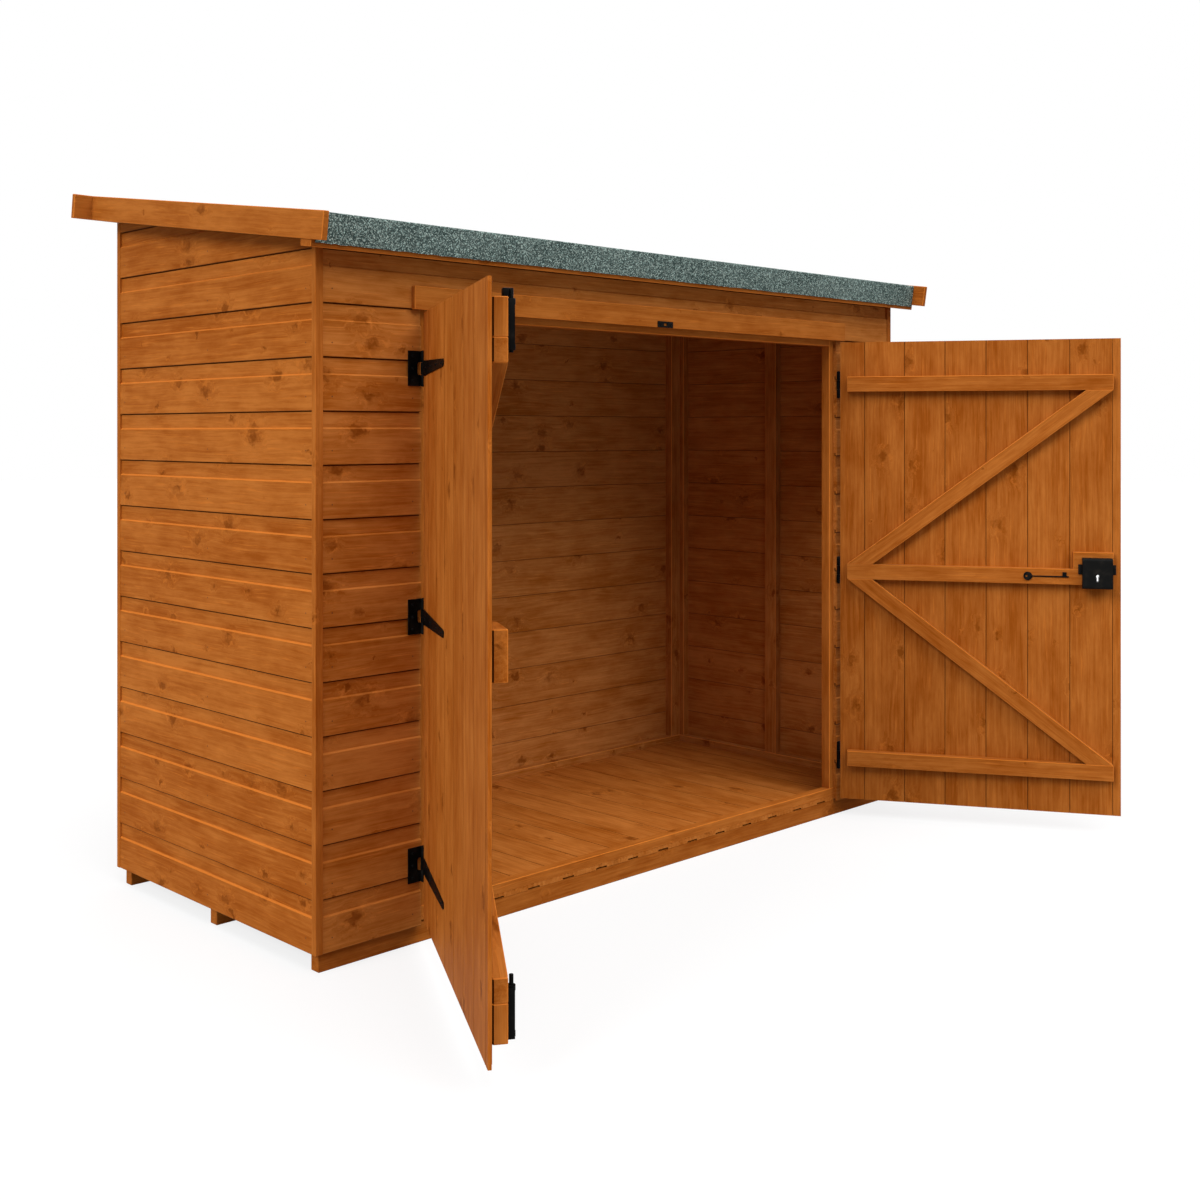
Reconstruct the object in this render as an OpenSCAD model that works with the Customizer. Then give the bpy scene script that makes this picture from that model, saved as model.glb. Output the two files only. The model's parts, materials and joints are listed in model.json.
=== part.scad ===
// Pent-roofed timber bike shed with double doors, standing on floor joists.
// Millimetres. X runs along the front, Y from the front to the rear, Z up from the ground.

/* [Overall] */
// Width over the side cladding
width = 2134; // [1700:1:2600]
// Depth over the front and rear cladding
depth = 868; // [700:1:1400]
// Height of the front wall above the floor boards
front_height = 1482; // [1200:1:1900]
// Fall of the roof towards the front, in degrees
roof_pitch = 8.3; // [3:0.1:14]

/* [Pose] */
// Angle of the left door, 0 is shut
left_open = 120.7; // [0:0.1:165]
// Angle of the right door, 0 is shut
right_open = 121; // [0:0.1:165]

/* [Cladding] */
// Thickness of the cladding boards
clad_t = 12; // [10:0.5:20]
// Height that each board covers
board_step = 114; // [90:1:150]
// Height of the hollow along the top of each board
recess_h = 35; // [15:1:50]
// Depth of the hollow along the top of each board
recess_d = 4; // [2:0.5:6]
// Height of the sloping shoulder under the hollow
shoulder_h = 6; // [2:1:12]
// Drop of the cladding below the top of the floor
clad_drop = 14; // [5:1:30]
// Width of the corner strips
strip_w = 20; // [14:1:50]
// Amount the corner strips stand out from the cladding
strip_proud = 2; // [1:0.5:12]

/* [Frame] */
// Depth of the framing timber, square to the wall
frame_t = 28; // [20:1:45]
// Width of the framing timber, along the wall
frame_w = 44; // [30:1:70]
// Height of the sole rails on the floor
sole_h = 24; // [16:1:50]
// Fitting room at the sloping faces
seat = 0.2; // [0.1:0.05:0.5]

/* [Floor] */
// Thickness of the floor joists
joist_t = 28; // [20:1:50]
// Height of the floor joists
joist_h = 44; // [30:1:80]
// Distance of the joist ends from the floor's ends
joist_inset = 4; // [0:1:20]
// Thickness of the floor boards
deck_t = 12; // [9:0.5:22]

/* [Doorway] */
// Distance of the doorway from each end of the shed
doorway_x = 281; // [200:1:400]
// Height of the wall over the doorway
header_h = 130; // [110:1:220]
// Amount the jambs stand into the doorway as door stops
stop_w = 20; // [14:1:30]
// Amount the head rail hangs below the doorway's top as a door stop
head_lap = 16; // [10:1:30]
// Height of the strip over the doors
head_strip_h = 52; // [30:1:80]
// Thickness of the strip over the doors
head_strip_t = 12; // [8:1:20]
// Length of the strip past each side of the doorway
head_strip_over = 27; // [5:1:60]

/* [Doors] */
// Thickness of the door boards
leaf_t = 12; // [10:0.5:20]
// Room between a shut door and its stops
stop_room = 5; // [5:0.5:10]
// Room between a door and the cladding at its hinge side
hinge_gap = 6; // [6:0.5:12]
// Room between the two doors
meet_gap = 6; // [5:0.5:12]
// Room over the doors
top_gap = 6; // [5:0.5:15]
// Height of the doors' lower edge above the cladding's lower edge
door_lift = 14; // [5:1:30]
// Thickness of the ledges, braces and blocks
ledge_t = 28; // [18:1:40]
// Height of the ledges
ledge_h = 44; // [30:1:70]
// Height of a ledge's middle from the door's nearest edge
ledge_inset = 124; // [100:1:220]
// Distance of the ledges from the door's side edges
ledge_end = 22; // [20:1:60]
// Width of the braces
brace_w = 44; // [30:1:60]
// Height of the blocks that carry the bolts
bolt_block_h = 70; // [60:1:76]
// Length of the blocks that carry the bolts
bolt_block_w = 60; // [50:1:110]
// Height of the blocks at the lock
lock_block_h = 48; // [40:1:70]
// Length of the blocks at the lock
lock_block_w = 107; // [100:1:140]

/* [Hinges] */
// Height of a hinge plate
plate_h = 78; // [60:1:110]
// Width of a hinge plate from the pin
plate_w = 38; // [25:1:60]
// Thickness of the hinge metal
hinge_t = 2.5; // [2:0.5:4]
// Radius of the hinge barrel
barrel_r = 5; // [4:0.5:5.5]
// Radius of the hinge pin
pin_r = 2.5; // [2:0.1:3.5]
// Room between the pin and the strap's barrel
pin_room = 0.4; // [0.3:0.1:0.6]
// Room between neighbouring lengths of the barrel
barrel_room = 0.8; // [0.5:0.1:2]
// Length of a hinge strap from the pin
strap_l = 300; // [150:1:450]
// Width of a hinge strap at its wide end
strap_w = 34; // [24:1:50]
// Width of a hinge strap at its tip
strap_tip_w = 16; // [10:1:24]

/* [Bolts and lock] */
// Radius of the sliding bolts
bolt_r = 4; // [3:0.5:5]
// Length of the sliding bolts
bolt_l = 112; // [100:1:160]
// Room between a bolt and its staples
bolt_room = 0.6; // [0.4:0.1:1.5]
// Room between a shot bolt and the back of the rail it passes
bolt_clear = 2; // [1:0.5:6]
// Room between a drawn bolt's tip and the rail it passes
tip_room = 5; // [5:0.5:12]
// Length of a bolt's back plate
bolt_plate_l = 90; // [80:1:110]
// Width of a bolt's back plate
bolt_plate_w = 34; // [26:1:48]
// Thickness of the bolts' back plates
bolt_plate_t = 2; // [1:0.5:4]
// Height of a bolt's staples
staple_h = 10; // [6:1:16]
// Wall of a bolt's staples
staple_wall = 3; // [2:0.5:5]
// Length of a bolt's knob
knob_l = 16; // [10:1:24]
// Radius of a bolt's knob
knob_r = 3.5; // [2.5:0.5:5]
// Width of the keep over the doors
keep_w = 58; // [40:1:80]
// Height of the keep over the doors
keep_h = 16; // [10:1:30]
// Thickness of the keep over the doors
keep_t = 3; // [2:0.5:6]
// Distance of the keep from the middle of the doorway
keep_x = 10; // [0:1:60]
// Width of the lock case
lock_w = 80; // [60:1:95]
// Height of the lock case
lock_h = 86; // [60:1:95]
// Thickness of the lock case
lock_t = 26; // [18:1:40]
// Radius along the lock case's upper and lower edges
lock_round = 8; // [3:1:10]
// Height of the lock's side ears
ear_h = 28; // [16:1:50]
// Length of the lock's side ears
ear_w = 8; // [6:1:14]
// Thickness of the lock's side ears
ear_t = 3; // [2:0.5:6]
// Radius of the round part of the keyhole
keyhole_r = 4; // [3:0.5:6]
// Depth of the keyhole
keyhole_depth = 10; // [5:1:16]
// Radius of the key's bow
bow_r = 12; // [8:0.5:16]
// Radius of the hole in the key's bow
bow_hole_r = 3; // [2:0.5:5]
// Thickness of the key's bow
bow_t = 3; // [3:0.5:4]
// Radius of the key's shank
shank_r = 1.8; // [1.5:0.1:2]
// Length of the key's shank from the bow's middle
shank_l = 110; // [70:1:130]
// Height of the key's bit
bit_h = 13; // [8:1:18]
// Width of the key's bit
bit_w = 11; // [6:1:16]
// Thickness of the key's bit
bit_t = 2.4; // [1.5:0.1:3]
// Distance of the key's bow from the lock block
key_gap = 122; // [120:1:200]

/* [Roof] */
// Reach of the roof boards in front of the front wall
roof_front = 52; // [45:1:120]
// Reach of the roof boards behind the rear wall
roof_rear = 45; // [35:1:120]
// Reach of the roof boards past each side wall
roof_side = 36; // [16:1:100]
// Thickness of the roof boards
roof_t = 12; // [9:0.5:20]
// Thickness of the felt
felt_t = 3; // [2:0.5:5]
// Reach of the felt below the front roof rail
felt_drop = 6; // [0:1:8]
// Thickness of the barge boards and the rear fascia
barge_t = 14; // [10:1:25]
// Height of the barge boards and the rear fascia
barge_h = 60; // [60:1:110]
// Reach of the barge boards in front of the roof boards
barge_nose = 42; // [5:1:80]
// Reach of the rear fascia past the barge boards
fascia_over = 47; // [0:1:90]
// Thickness of the strip under the eaves
eaves_t = 15; // [8:1:24]
// Width of the strip under the eaves
eaves_w = 38; // [20:1:40]
// Distance of the eaves strip from the roof boards' front edge
eaves_set = 1; // [0:1:12]
// Reach of the eaves strip past each side wall
eaves_over = 46; // [40:1:90]

/* [Hidden] */
$fn = 32;
slit = 1;
x_left = -width / 2;
x_right = width / 2;
y_front = -depth / 2;
y_rear = depth / 2;
deck_top = joist_h + deck_t;
clad_z = deck_top - clad_drop;
strip_in = strip_w - strip_proud;
frame_in = clad_t + frame_t;
sole_top = deck_top + sole_h;
slope_rail = frame_w / cos(roof_pitch);
upright_drop = slope_rail + seat;
head_z = deck_top + front_height - header_h;
head_rail_z = head_z - head_lap;
front_rail_z = deck_top + front_height - frame_w;
door_x = x_left + doorway_x;
jamb_in = door_x + stop_w;
leaf_w = width / 2 - doorway_x - hinge_gap - meet_gap / 2;
leaf_z0 = clad_z + door_lift;
leaf_z1 = head_z - top_gap;
leaf_proud = leaf_t + stop_room - clad_t;
pin_ahead = 1;
pin_y = y_front - leaf_proud - pin_ahead;
leaf_y0 = pin_ahead;
leaf_y1 = leaf_y0 + leaf_t;
ledge_y1 = leaf_y1 + ledge_t;
leaf_x0 = hinge_gap;
leaf_x1 = leaf_x0 + leaf_w;
ledge_x0 = leaf_x0 + ledge_end;
ledge_x1 = leaf_x1 - ledge_end;
ledge_low = leaf_z0 + ledge_inset;
ledge_high = leaf_z1 - ledge_inset;
ledge_mid = (ledge_low + ledge_high) / 2;
ledge_zs = [ledge_low, ledge_mid, ledge_high];
brace_rise = ledge_mid - ledge_low - ledge_h;
brace_run = ledge_x1 - ledge_x0;
wall_y = y_front - pin_y;
frame_back = wall_y + frame_in;
bolt_y = frame_back + bolt_clear + bolt_r;
bolt_x = ledge_x1 - bolt_block_w / 2;
bolt_high = head_rail_z - tip_room;
bolt_low = sole_top + tip_room;
bolt_plate_high = ledge_high + ledge_h / 2 + bolt_block_h - slit;
bolt_plate_low = ledge_low - ledge_h / 2 - bolt_block_h + slit;
plate_face_y = ledge_y1 + bolt_plate_t;
staple_r = bolt_r + bolt_room;
lock_x1 = ledge_x1 - ear_w / 2;
lock_x0 = lock_x1 - lock_w;
lock_z = ledge_mid + lock_block_h / 4;
roof_back = (depth + roof_rear) / cos(roof_pitch);
roof_rail_front = -roof_front + frame_t;
roof_rail_rear = roof_back - frame_t;
purlin_y = (roof_rail_front + roof_rail_rear - frame_t) / 2;
felt_w = frame_w + roof_t;
front_boards = ceil((front_height + clad_drop) / board_step);
rear_boards = ceil((front_height + clad_drop + depth * tan(roof_pitch)) / board_step);

function top_z(y) = deck_top + front_height + (y - y_front) * tan(roof_pitch);

// Outer face of the lapped boards as [distance in from the face, height]
function lap_face(count) = [
    for (k = [0 : count - 1])
    each [
        [0, clad_z + k * board_step],
        [0, clad_z + (k + 1) * board_step - recess_h - shoulder_h],
        [recess_d, clad_z + (k + 1) * board_step - recess_h],
        [recess_d, clad_z + (k + 1) * board_step]
    ]
];

function lap_outline(count) = concat(
    lap_face(count),
    [[clad_t, clad_z + count * board_step], [clad_t, clad_z]]
);

function shifted(points, place, way) = [for (p = points) [place + way * p[0], p[1]]];

module slab(x0, x1, y0, y1, z0, z1) {
    translate([x0, y0, z0]) cube([x1 - x0, y1 - y0, z1 - z0]);
}

// Prism along X from an outline of [y, z] points
module along_x(x0, x1, points) {
    translate([x0, 0, 0]) rotate([90, 0, 90]) linear_extrude(x1 - x0) polygon(points);
}

// Prism along Y from an outline of [x, z] points
module along_y(y0, y1, points) {
    translate([0, y1, 0]) rotate([90, 0, 0]) linear_extrude(y1 - y0) polygon(points);
}

// Keeps what lies under the slope of the roof
module under_roof() {
    intersection() {
        children();
        along_x(-width, width, [
            [-depth, 0], [depth, 0], [depth, top_z(depth)], [-depth, top_z(-depth)]
        ]);
    }
}

// Places children on the roof's slope, with Y up the slope and Z square to it
module on_roof() {
    translate([0, y_front, deck_top + front_height + seat]) rotate([roof_pitch, 0, 0]) children();
}

module both_sides() {
    children();
    mirror([1, 0, 0]) children();
}

// Places a door's pieces, drawn shut with the hinge pin at X = 0, Y = 0
module left_place() {
    translate([door_x, pin_y, 0]) rotate([0, 0, -left_open]) children();
}

module right_place() {
    mirror([1, 0, 0]) translate([door_x, pin_y, 0]) rotate([0, 0, -right_open]) children();
}

module wood() color([0.66, 0.36, 0.13]) children();
module metal() color([0.06, 0.06, 0.07]) children();

// Floor

module floor_joists() {
    joist_ys = [y_front + clad_t, -joist_t / 2, y_rear - clad_t - joist_t];
    end_x = width / 2 - clad_t - joist_inset;
    wood() for (y = joist_ys) slab(-end_x, end_x, y, y + joist_t, 0, joist_h);
}

module floor_deck() {
    wood() slab(x_left + clad_t, x_right - clad_t, y_front + clad_t, y_rear - clad_t, joist_h, deck_top);
}

// Cladding

module side_cladding() {
    under_roof() along_y(
        y_front + clad_t, y_rear - clad_t, shifted(lap_outline(rear_boards), x_left, 1)
    );
}

module left_wall() {
    wood() side_cladding();
}

module right_wall() {
    wood() mirror([1, 0, 0]) side_cladding();
}

module rear_wall() {
    wood() under_roof() along_x(
        x_left + strip_in, x_right - strip_in, shifted(lap_outline(rear_boards), y_rear, -1)
    );
}

module front_cladding(x0, x1) {
    under_roof() along_x(x0, x1, shifted(lap_outline(front_boards), y_front, 1));
}

module front_left_wall() {
    wood() front_cladding(x_left + strip_in, door_x);
}

module front_right_wall() {
    wood() front_cladding(-door_x, x_right - strip_in);
}

module front_header_wall() {
    wood() intersection() {
        front_cladding(door_x, -door_x);
        slab(x_left, x_right, y_front, y_front + clad_t, head_z, deck_top + front_height + frame_w);
    }
}

module corner_strips() {
    front = [y_front - strip_proud, y_front + clad_t];
    rear = [y_rear - clad_t, y_rear + strip_proud];
    wood() under_roof() both_sides() for (y = [front, rear])
        slab(x_left - strip_proud, x_left + strip_in, y[0], y[1], clad_z, top_z(y_rear + frame_w));
}

// Framing

module side_wall_rails() {
    y0 = y_front + clad_t;
    y1 = y_rear - clad_t;
    x0 = x_left + clad_t;
    x1 = x_left + frame_in;
    wood() both_sides() {
        slab(x0, x1, y0, y1, deck_top, sole_top);
        along_x(x0, x1, [
            [y0, top_z(y0) - slope_rail], [y1, top_z(y1) - slope_rail], [y1, top_z(y1)], [y0, top_z(y0)]
        ]);
    }
}

module side_wall_uprights() {
    starts = [y_front + clad_t, -frame_w / 2, y_rear - clad_t - frame_w];
    wood() both_sides() for (y0 = starts)
        along_x(x_left + clad_t, x_left + frame_in, [
            [y0, sole_top], [y0 + frame_w, sole_top],
            [y0 + frame_w, top_z(y0 + frame_w) - upright_drop], [y0, top_z(y0) - upright_drop]
        ]);
}

module rear_wall_rails() {
    x_end = width / 2 - frame_in;
    y0 = y_rear - frame_in;
    y1 = y_rear - clad_t;
    wood() {
        slab(-x_end, x_end, y0, y1, deck_top, sole_top);
        along_x(-x_end, x_end, [
            [y0, top_z(y0) - frame_w], [y1, top_z(y0) - frame_w], [y1, top_z(y1)], [y0, top_z(y0)]
        ]);
    }
}

module rear_wall_uprights() {
    y0 = y_rear - frame_in;
    wood() both_sides()
        slab(x_left + frame_in, x_left + frame_in + frame_w, y0, y_rear - clad_t,
            sole_top, top_z(y0) - frame_w);
}

module front_top_rail() {
    x_end = width / 2 - frame_in;
    y0 = y_front + clad_t;
    y1 = y_front + frame_in;
    wood() along_x(-x_end, x_end, [[y0, front_rail_z], [y1, front_rail_z], [y1, top_z(y1)], [y0, top_z(y0)]]);
}

module front_upright(x0) {
    slab(x0, x0 + frame_w, y_front + clad_t, y_front + frame_in, sole_top, front_rail_z);
}

module front_posts() {
    wood() both_sides() front_upright(x_left + frame_in);
}

module door_jambs() {
    wood() both_sides() front_upright(jamb_in - frame_w);
}

module door_head_rail() {
    wood() slab(jamb_in, -jamb_in, y_front + clad_t, y_front + frame_in,
        head_rail_z, head_rail_z + frame_w);
}

module door_sill() {
    x_end = width / 2 - frame_in;
    wood() slab(-x_end, x_end, y_front + clad_t, y_front + frame_in, deck_top, sole_top);
}

module door_head_strip() {
    x_end = -door_x + head_strip_over;
    wood() slab(-x_end, x_end, y_front - head_strip_t, y_front, head_z, head_z + head_strip_h);
}

module bolt_keep() {
    y1 = y_front - head_strip_t;
    metal() slab(keep_x - keep_w / 2, keep_x + keep_w / 2, y1 - keep_t, y1, head_z, head_z + keep_h);
}

// Roof

module roof_rails() {
    long_x = width / 2 + roof_side;
    end_x = width / 2 - frame_t;
    wood() on_roof() {
        slab(-long_x, long_x, -roof_front, roof_rail_front, 0, frame_w);
        slab(-long_x, long_x, roof_rail_rear, roof_back, 0, frame_w);
        slab(-end_x, end_x, purlin_y, purlin_y + frame_t, 0, frame_w);
    }
}

module roof_end_rails() {
    wood() on_roof() both_sides()
        slab(x_left, x_left + frame_t, roof_rail_front, roof_rail_rear, 0, frame_w);
}

module roof_deck() {
    x_end = width / 2 + roof_side;
    wood() on_roof() slab(-x_end, x_end, -roof_front, roof_back, frame_w, felt_w);
}

module roof_felt() {
    x_end = width / 2 + roof_side;
    color([0.30, 0.42, 0.40]) on_roof() along_x(-x_end, x_end, [
        [-roof_front - felt_t, -felt_drop], [-roof_front, -felt_drop], [-roof_front, felt_w],
        [roof_back, felt_w], [roof_back, felt_w + felt_t], [-roof_front - felt_t, felt_w + felt_t]
    ]);
}

module barge_board() {
    x1 = x_left - roof_side;
    on_roof() slab(x1 - barge_t, x1, -roof_front - barge_nose, roof_back, 0, barge_h);
}

module left_barge_board() {
    wood() barge_board();
}

module right_barge_board() {
    wood() mirror([1, 0, 0]) barge_board();
}

module rear_fascia() {
    x_end = width / 2 + roof_side + barge_t + fascia_over;
    wood() on_roof() slab(-x_end, x_end, roof_back, roof_back + barge_t, 0, barge_h);
}

module eaves_strip() {
    x_end = width / 2 + eaves_over;
    y0 = -roof_front + eaves_set;
    wood() on_roof() slab(-x_end, x_end, y0, y0 + eaves_w, -eaves_t, 0);
}

// Hinges, drawn with the pin at X = 0, Y = 0 and the middle of the barrel at Z = 0

module hinge_plate() {
    third = plate_h / 3;
    plate_x1 = -barrel_r - barrel_room;
    slab(-plate_w, plate_x1, wall_y - hinge_t, wall_y, -plate_h / 2, plate_h / 2);
    for (z = [-plate_h / 2, plate_h / 2 - third + barrel_room]) {
        slab(plate_x1, 0, wall_y - hinge_t, wall_y, z, z + third - barrel_room);
        translate([0, 0, z]) cylinder(h = third - barrel_room, r = barrel_r);
    }
    translate([0, 0, -plate_h / 2]) cylinder(h = plate_h, r = pin_r);
}

module hinge_strap() {
    third = plate_h / 3;
    tip_r = strap_tip_w / 2;
    difference() {
        union() {
            translate([0, 0, -third / 2]) cylinder(h = third, r = barrel_r);
            along_y(leaf_y0 - hinge_t, leaf_y0, [
                [0, -third / 2], [leaf_x0, -third / 2], [leaf_x0 + third / 2, -strap_w / 2],
                [strap_l - tip_r, -tip_r], [strap_l - tip_r, tip_r],
                [leaf_x0 + third / 2, strap_w / 2], [leaf_x0, third / 2], [0, third / 2]
            ]);
            translate([strap_l - tip_r, leaf_y0, 0]) rotate([90, 0, 0]) cylinder(h = hinge_t, r = tip_r);
        }
        translate([0, 0, -third]) cylinder(h = 2 * third, r = pin_r + pin_room);
    }
}

module left_hinge_plates() {
    metal() for (z = ledge_zs) translate([door_x, pin_y, z]) hinge_plate();
}

module right_hinge_plates() {
    metal() mirror([1, 0, 0]) for (z = ledge_zs) translate([door_x, pin_y, z]) hinge_plate();
}

// Doors

module leaf() {
    slab(leaf_x0, leaf_x1, leaf_y0, leaf_y1, leaf_z0, leaf_z1);
}

module ledges() {
    for (z = ledge_zs) slab(ledge_x0, ledge_x1, leaf_y1, ledge_y1, z - ledge_h / 2, z + ledge_h / 2);
}

// Length of a brace's level cut, found from the brace's width and its slope
brace_lean = atan2(brace_rise, brace_run - brace_w / sin(atan2(brace_rise, brace_run)));
brace_cut = brace_w / sin(brace_lean);

module braces() {
    low = ledge_mid - ledge_h / 2;
    high = ledge_mid + ledge_h / 2;
    along_y(leaf_y1, ledge_y1, [
        [ledge_x0, high], [ledge_x0 + brace_cut, high],
        [ledge_x1, high + brace_rise], [ledge_x1 - brace_cut, high + brace_rise]
    ]);
    along_y(leaf_y1, ledge_y1, [
        [ledge_x0, low], [ledge_x0 + brace_cut, low],
        [ledge_x1, low - brace_rise], [ledge_x1 - brace_cut, low - brace_rise]
    ]);
}

module lock_block() {
    z = ledge_mid + ledge_h / 2;
    slab(ledge_x1 - lock_block_w, ledge_x1, leaf_y1, ledge_y1, z, z + lock_block_h);
}

module bolt_blocks() {
    x0 = ledge_x1 - bolt_block_w;
    high = ledge_high + ledge_h / 2;
    low = ledge_low - ledge_h / 2;
    slab(x0, ledge_x1, leaf_y1, ledge_y1, high, high + bolt_block_h);
    slab(x0, ledge_x1, leaf_y1, ledge_y1, low - bolt_block_h, low);
}

module staple(z) {
    half = staple_r + staple_wall;
    difference() {
        union() {
            slab(bolt_x - half, bolt_x + half, plate_face_y, bolt_y, z, z + staple_h);
            translate([bolt_x, bolt_y, z]) cylinder(h = staple_h, r = half);
        }
        translate([bolt_x, bolt_y, z - slit]) cylinder(h = staple_h + 2 * slit, r = staple_r);
    }
}

module bolt_plate(z0) {
    half = bolt_plate_w / 2;
    slab(bolt_x - half, bolt_x + half, ledge_y1, plate_face_y, z0, z0 + bolt_plate_l);
    for (z = [z0, z0 + bolt_plate_l - staple_h]) staple(z);
}

// A round bolt with a side knob, its tip at Z = 0 and its length below
module sliding_bolt(way, knob_z) {
    translate([bolt_x, bolt_y, 0]) {
        translate([0, 0, way > 0 ? -bolt_l : 0]) cylinder(h = bolt_l, r = bolt_r);
        translate([0, 0, knob_z]) rotate([0, -90, 0]) cylinder(h = knob_l, r = knob_r);
    }
}

module left_door_boards() {
    wood() left_place() leaf();
}

module left_door_ledges() {
    wood() left_place() ledges();
}

module left_door_braces() {
    wood() left_place() braces();
}

module left_door_blocks() {
    wood() left_place() {
        bolt_blocks();
        lock_block();
    }
}

module left_hinge_straps() {
    metal() left_place() for (z = ledge_zs) translate([0, 0, z]) hinge_strap();
}

module bolt_plates() {
    metal() left_place() {
        bolt_plate(bolt_plate_high - bolt_plate_l);
        bolt_plate(bolt_plate_low);
    }
}

module top_bolt() {
    knob_z = bolt_plate_high - bolt_plate_l / 2 - bolt_high;
    metal() left_place() translate([0, 0, bolt_high]) sliding_bolt(1, knob_z);
}

module bottom_bolt() {
    knob_z = bolt_plate_low + bolt_plate_l / 2 - bolt_low;
    metal() left_place() translate([0, 0, bolt_low]) sliding_bolt(-1, knob_z);
}

module right_door_boards() {
    wood() right_place() leaf();
}

module right_door_ledges() {
    wood() right_place() ledges();
}

module right_door_braces() {
    wood() right_place() braces();
}

module right_lock_block() {
    wood() right_place() lock_block();
}

module right_hinge_straps() {
    metal() right_place() for (z = ledge_zs) translate([0, 0, z]) hinge_strap();
}

module lock_case() {
    z0 = lock_z - lock_h / 2;
    z1 = lock_z + lock_h / 2;
    face_y = ledge_y1 + lock_t;
    mid_x = (lock_x0 + lock_x1) / 2;
    metal() right_place() difference() {
        union() {
            slab(lock_x0, lock_x1, ledge_y1, face_y - lock_round, z0, z1);
            slab(lock_x0, lock_x1, ledge_y1, face_y, z0 + lock_round, z1 - lock_round);
            for (z = [z0 + lock_round, z1 - lock_round])
                translate([lock_x0, face_y - lock_round, z]) rotate([0, 90, 0])
                    cylinder(h = lock_w, r = lock_round);
            slab(lock_x0 - ear_w / 2, lock_x1 + ear_w / 2, ledge_y1, ledge_y1 + ear_t,
                ledge_mid, ledge_mid + ear_h);
        }
        translate([mid_x, face_y + slit, lock_z]) rotate([90, 0, 0])
            cylinder(h = keyhole_depth + slit, r = keyhole_r);
        slab(mid_x - keyhole_r / 2, mid_x + keyhole_r / 2, face_y - keyhole_depth, face_y + slit,
            lock_z - 4 * keyhole_r, lock_z);
    }
}

module lock_key() {
    x = ledge_x1 - lock_block_w - key_gap;
    shank_y = ledge_y1 + bow_t - shank_r / 2;
    bit_x = shank_l - bow_r / 2;
    metal() right_place() translate([x, 0, ledge_mid]) {
        difference() {
            translate([0, ledge_y1 + bow_t, 0]) rotate([90, 0, 0]) cylinder(h = bow_t, r = bow_r);
            translate([-bow_r / 3, ledge_y1 + bow_t + slit, 0]) rotate([90, 0, 0])
                cylinder(h = bow_t + 2 * slit, r = bow_hole_r);
        }
        translate([bow_r / 2, shank_y, 0]) rotate([0, 90, 0]) cylinder(h = shank_l - bow_r / 2, r = shank_r);
        slab(bit_x - bit_w, bit_x, shank_y - bit_t / 2, shank_y + bit_t / 2, 0, bit_h);
    }
}

floor_joists();
floor_deck();
left_wall();
right_wall();
rear_wall();
front_left_wall();
front_right_wall();
front_header_wall();
corner_strips();
side_wall_rails();
side_wall_uprights();
rear_wall_rails();
rear_wall_uprights();
front_top_rail();
front_posts();
door_jambs();
door_head_rail();
door_sill();
door_head_strip();
bolt_keep();
roof_rails();
roof_end_rails();
roof_deck();
roof_felt();
left_barge_board();
right_barge_board();
rear_fascia();
eaves_strip();
left_hinge_plates();
right_hinge_plates();
left_door_boards();
left_door_ledges();
left_door_braces();
left_door_blocks();
left_hinge_straps();
bolt_plates();
right_door_boards();
right_door_ledges();
right_door_braces();
right_lock_block();
right_hinge_straps();
lock_case();
lock_key();
top_bolt();
bottom_bolt();
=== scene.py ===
"""Dresses the pent-roofed bike shed: lapped boards, ledged doors, ironwork, felt and a plain stage."""

import json
import math
import random

import bmesh
import bpy
from bpy.props import FloatProperty, FloatVectorProperty, PointerProperty
from bpy.types import Operator, Panel, PropertyGroup
from mathutils import Matrix, Vector

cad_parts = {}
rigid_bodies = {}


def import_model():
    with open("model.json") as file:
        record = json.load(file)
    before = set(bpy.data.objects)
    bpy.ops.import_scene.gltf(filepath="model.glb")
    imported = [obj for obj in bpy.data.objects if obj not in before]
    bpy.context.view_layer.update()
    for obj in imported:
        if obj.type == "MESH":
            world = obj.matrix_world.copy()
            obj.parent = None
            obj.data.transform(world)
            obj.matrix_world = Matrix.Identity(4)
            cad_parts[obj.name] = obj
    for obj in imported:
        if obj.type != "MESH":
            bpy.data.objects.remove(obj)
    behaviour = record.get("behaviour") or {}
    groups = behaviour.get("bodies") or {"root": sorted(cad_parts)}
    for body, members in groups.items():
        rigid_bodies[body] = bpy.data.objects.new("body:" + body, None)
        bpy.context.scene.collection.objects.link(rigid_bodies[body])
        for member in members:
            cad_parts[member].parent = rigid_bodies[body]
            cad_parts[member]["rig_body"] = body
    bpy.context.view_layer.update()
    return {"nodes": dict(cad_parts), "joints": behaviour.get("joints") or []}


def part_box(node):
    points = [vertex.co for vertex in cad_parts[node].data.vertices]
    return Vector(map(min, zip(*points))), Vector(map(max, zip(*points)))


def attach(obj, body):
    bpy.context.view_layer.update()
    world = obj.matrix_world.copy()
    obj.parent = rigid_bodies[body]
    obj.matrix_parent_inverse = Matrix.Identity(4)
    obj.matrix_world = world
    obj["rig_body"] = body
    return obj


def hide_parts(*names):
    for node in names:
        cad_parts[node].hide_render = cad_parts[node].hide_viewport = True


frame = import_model()

bl_info = {
    "name": "Bike Shed Dressing",
    "version": (1, 0, 0),
    "blender": (4, 5, 0),
    "location": "View3D > Sidebar > Shed",
    "description": "Boards, doors, ironwork, felt and stage for a pent-roofed bike shed",
    "category": "Object",
}

MM = 0.001
NEAR = 0.01 * MM
QUARTER = math.pi / 2
FLAT, BENT, SQUARE = math.radians(1), math.radians(25), math.radians(60)
Y, Z = Vector((0, 1, 0)), Vector((0, 0, 1))
ODD = Vector((0.83, 0.47, 0.29))
HERE = Matrix.Identity(4)
WHITE, BLACK = (1, 1, 1, 1), (0, 0, 0, 1)

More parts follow.
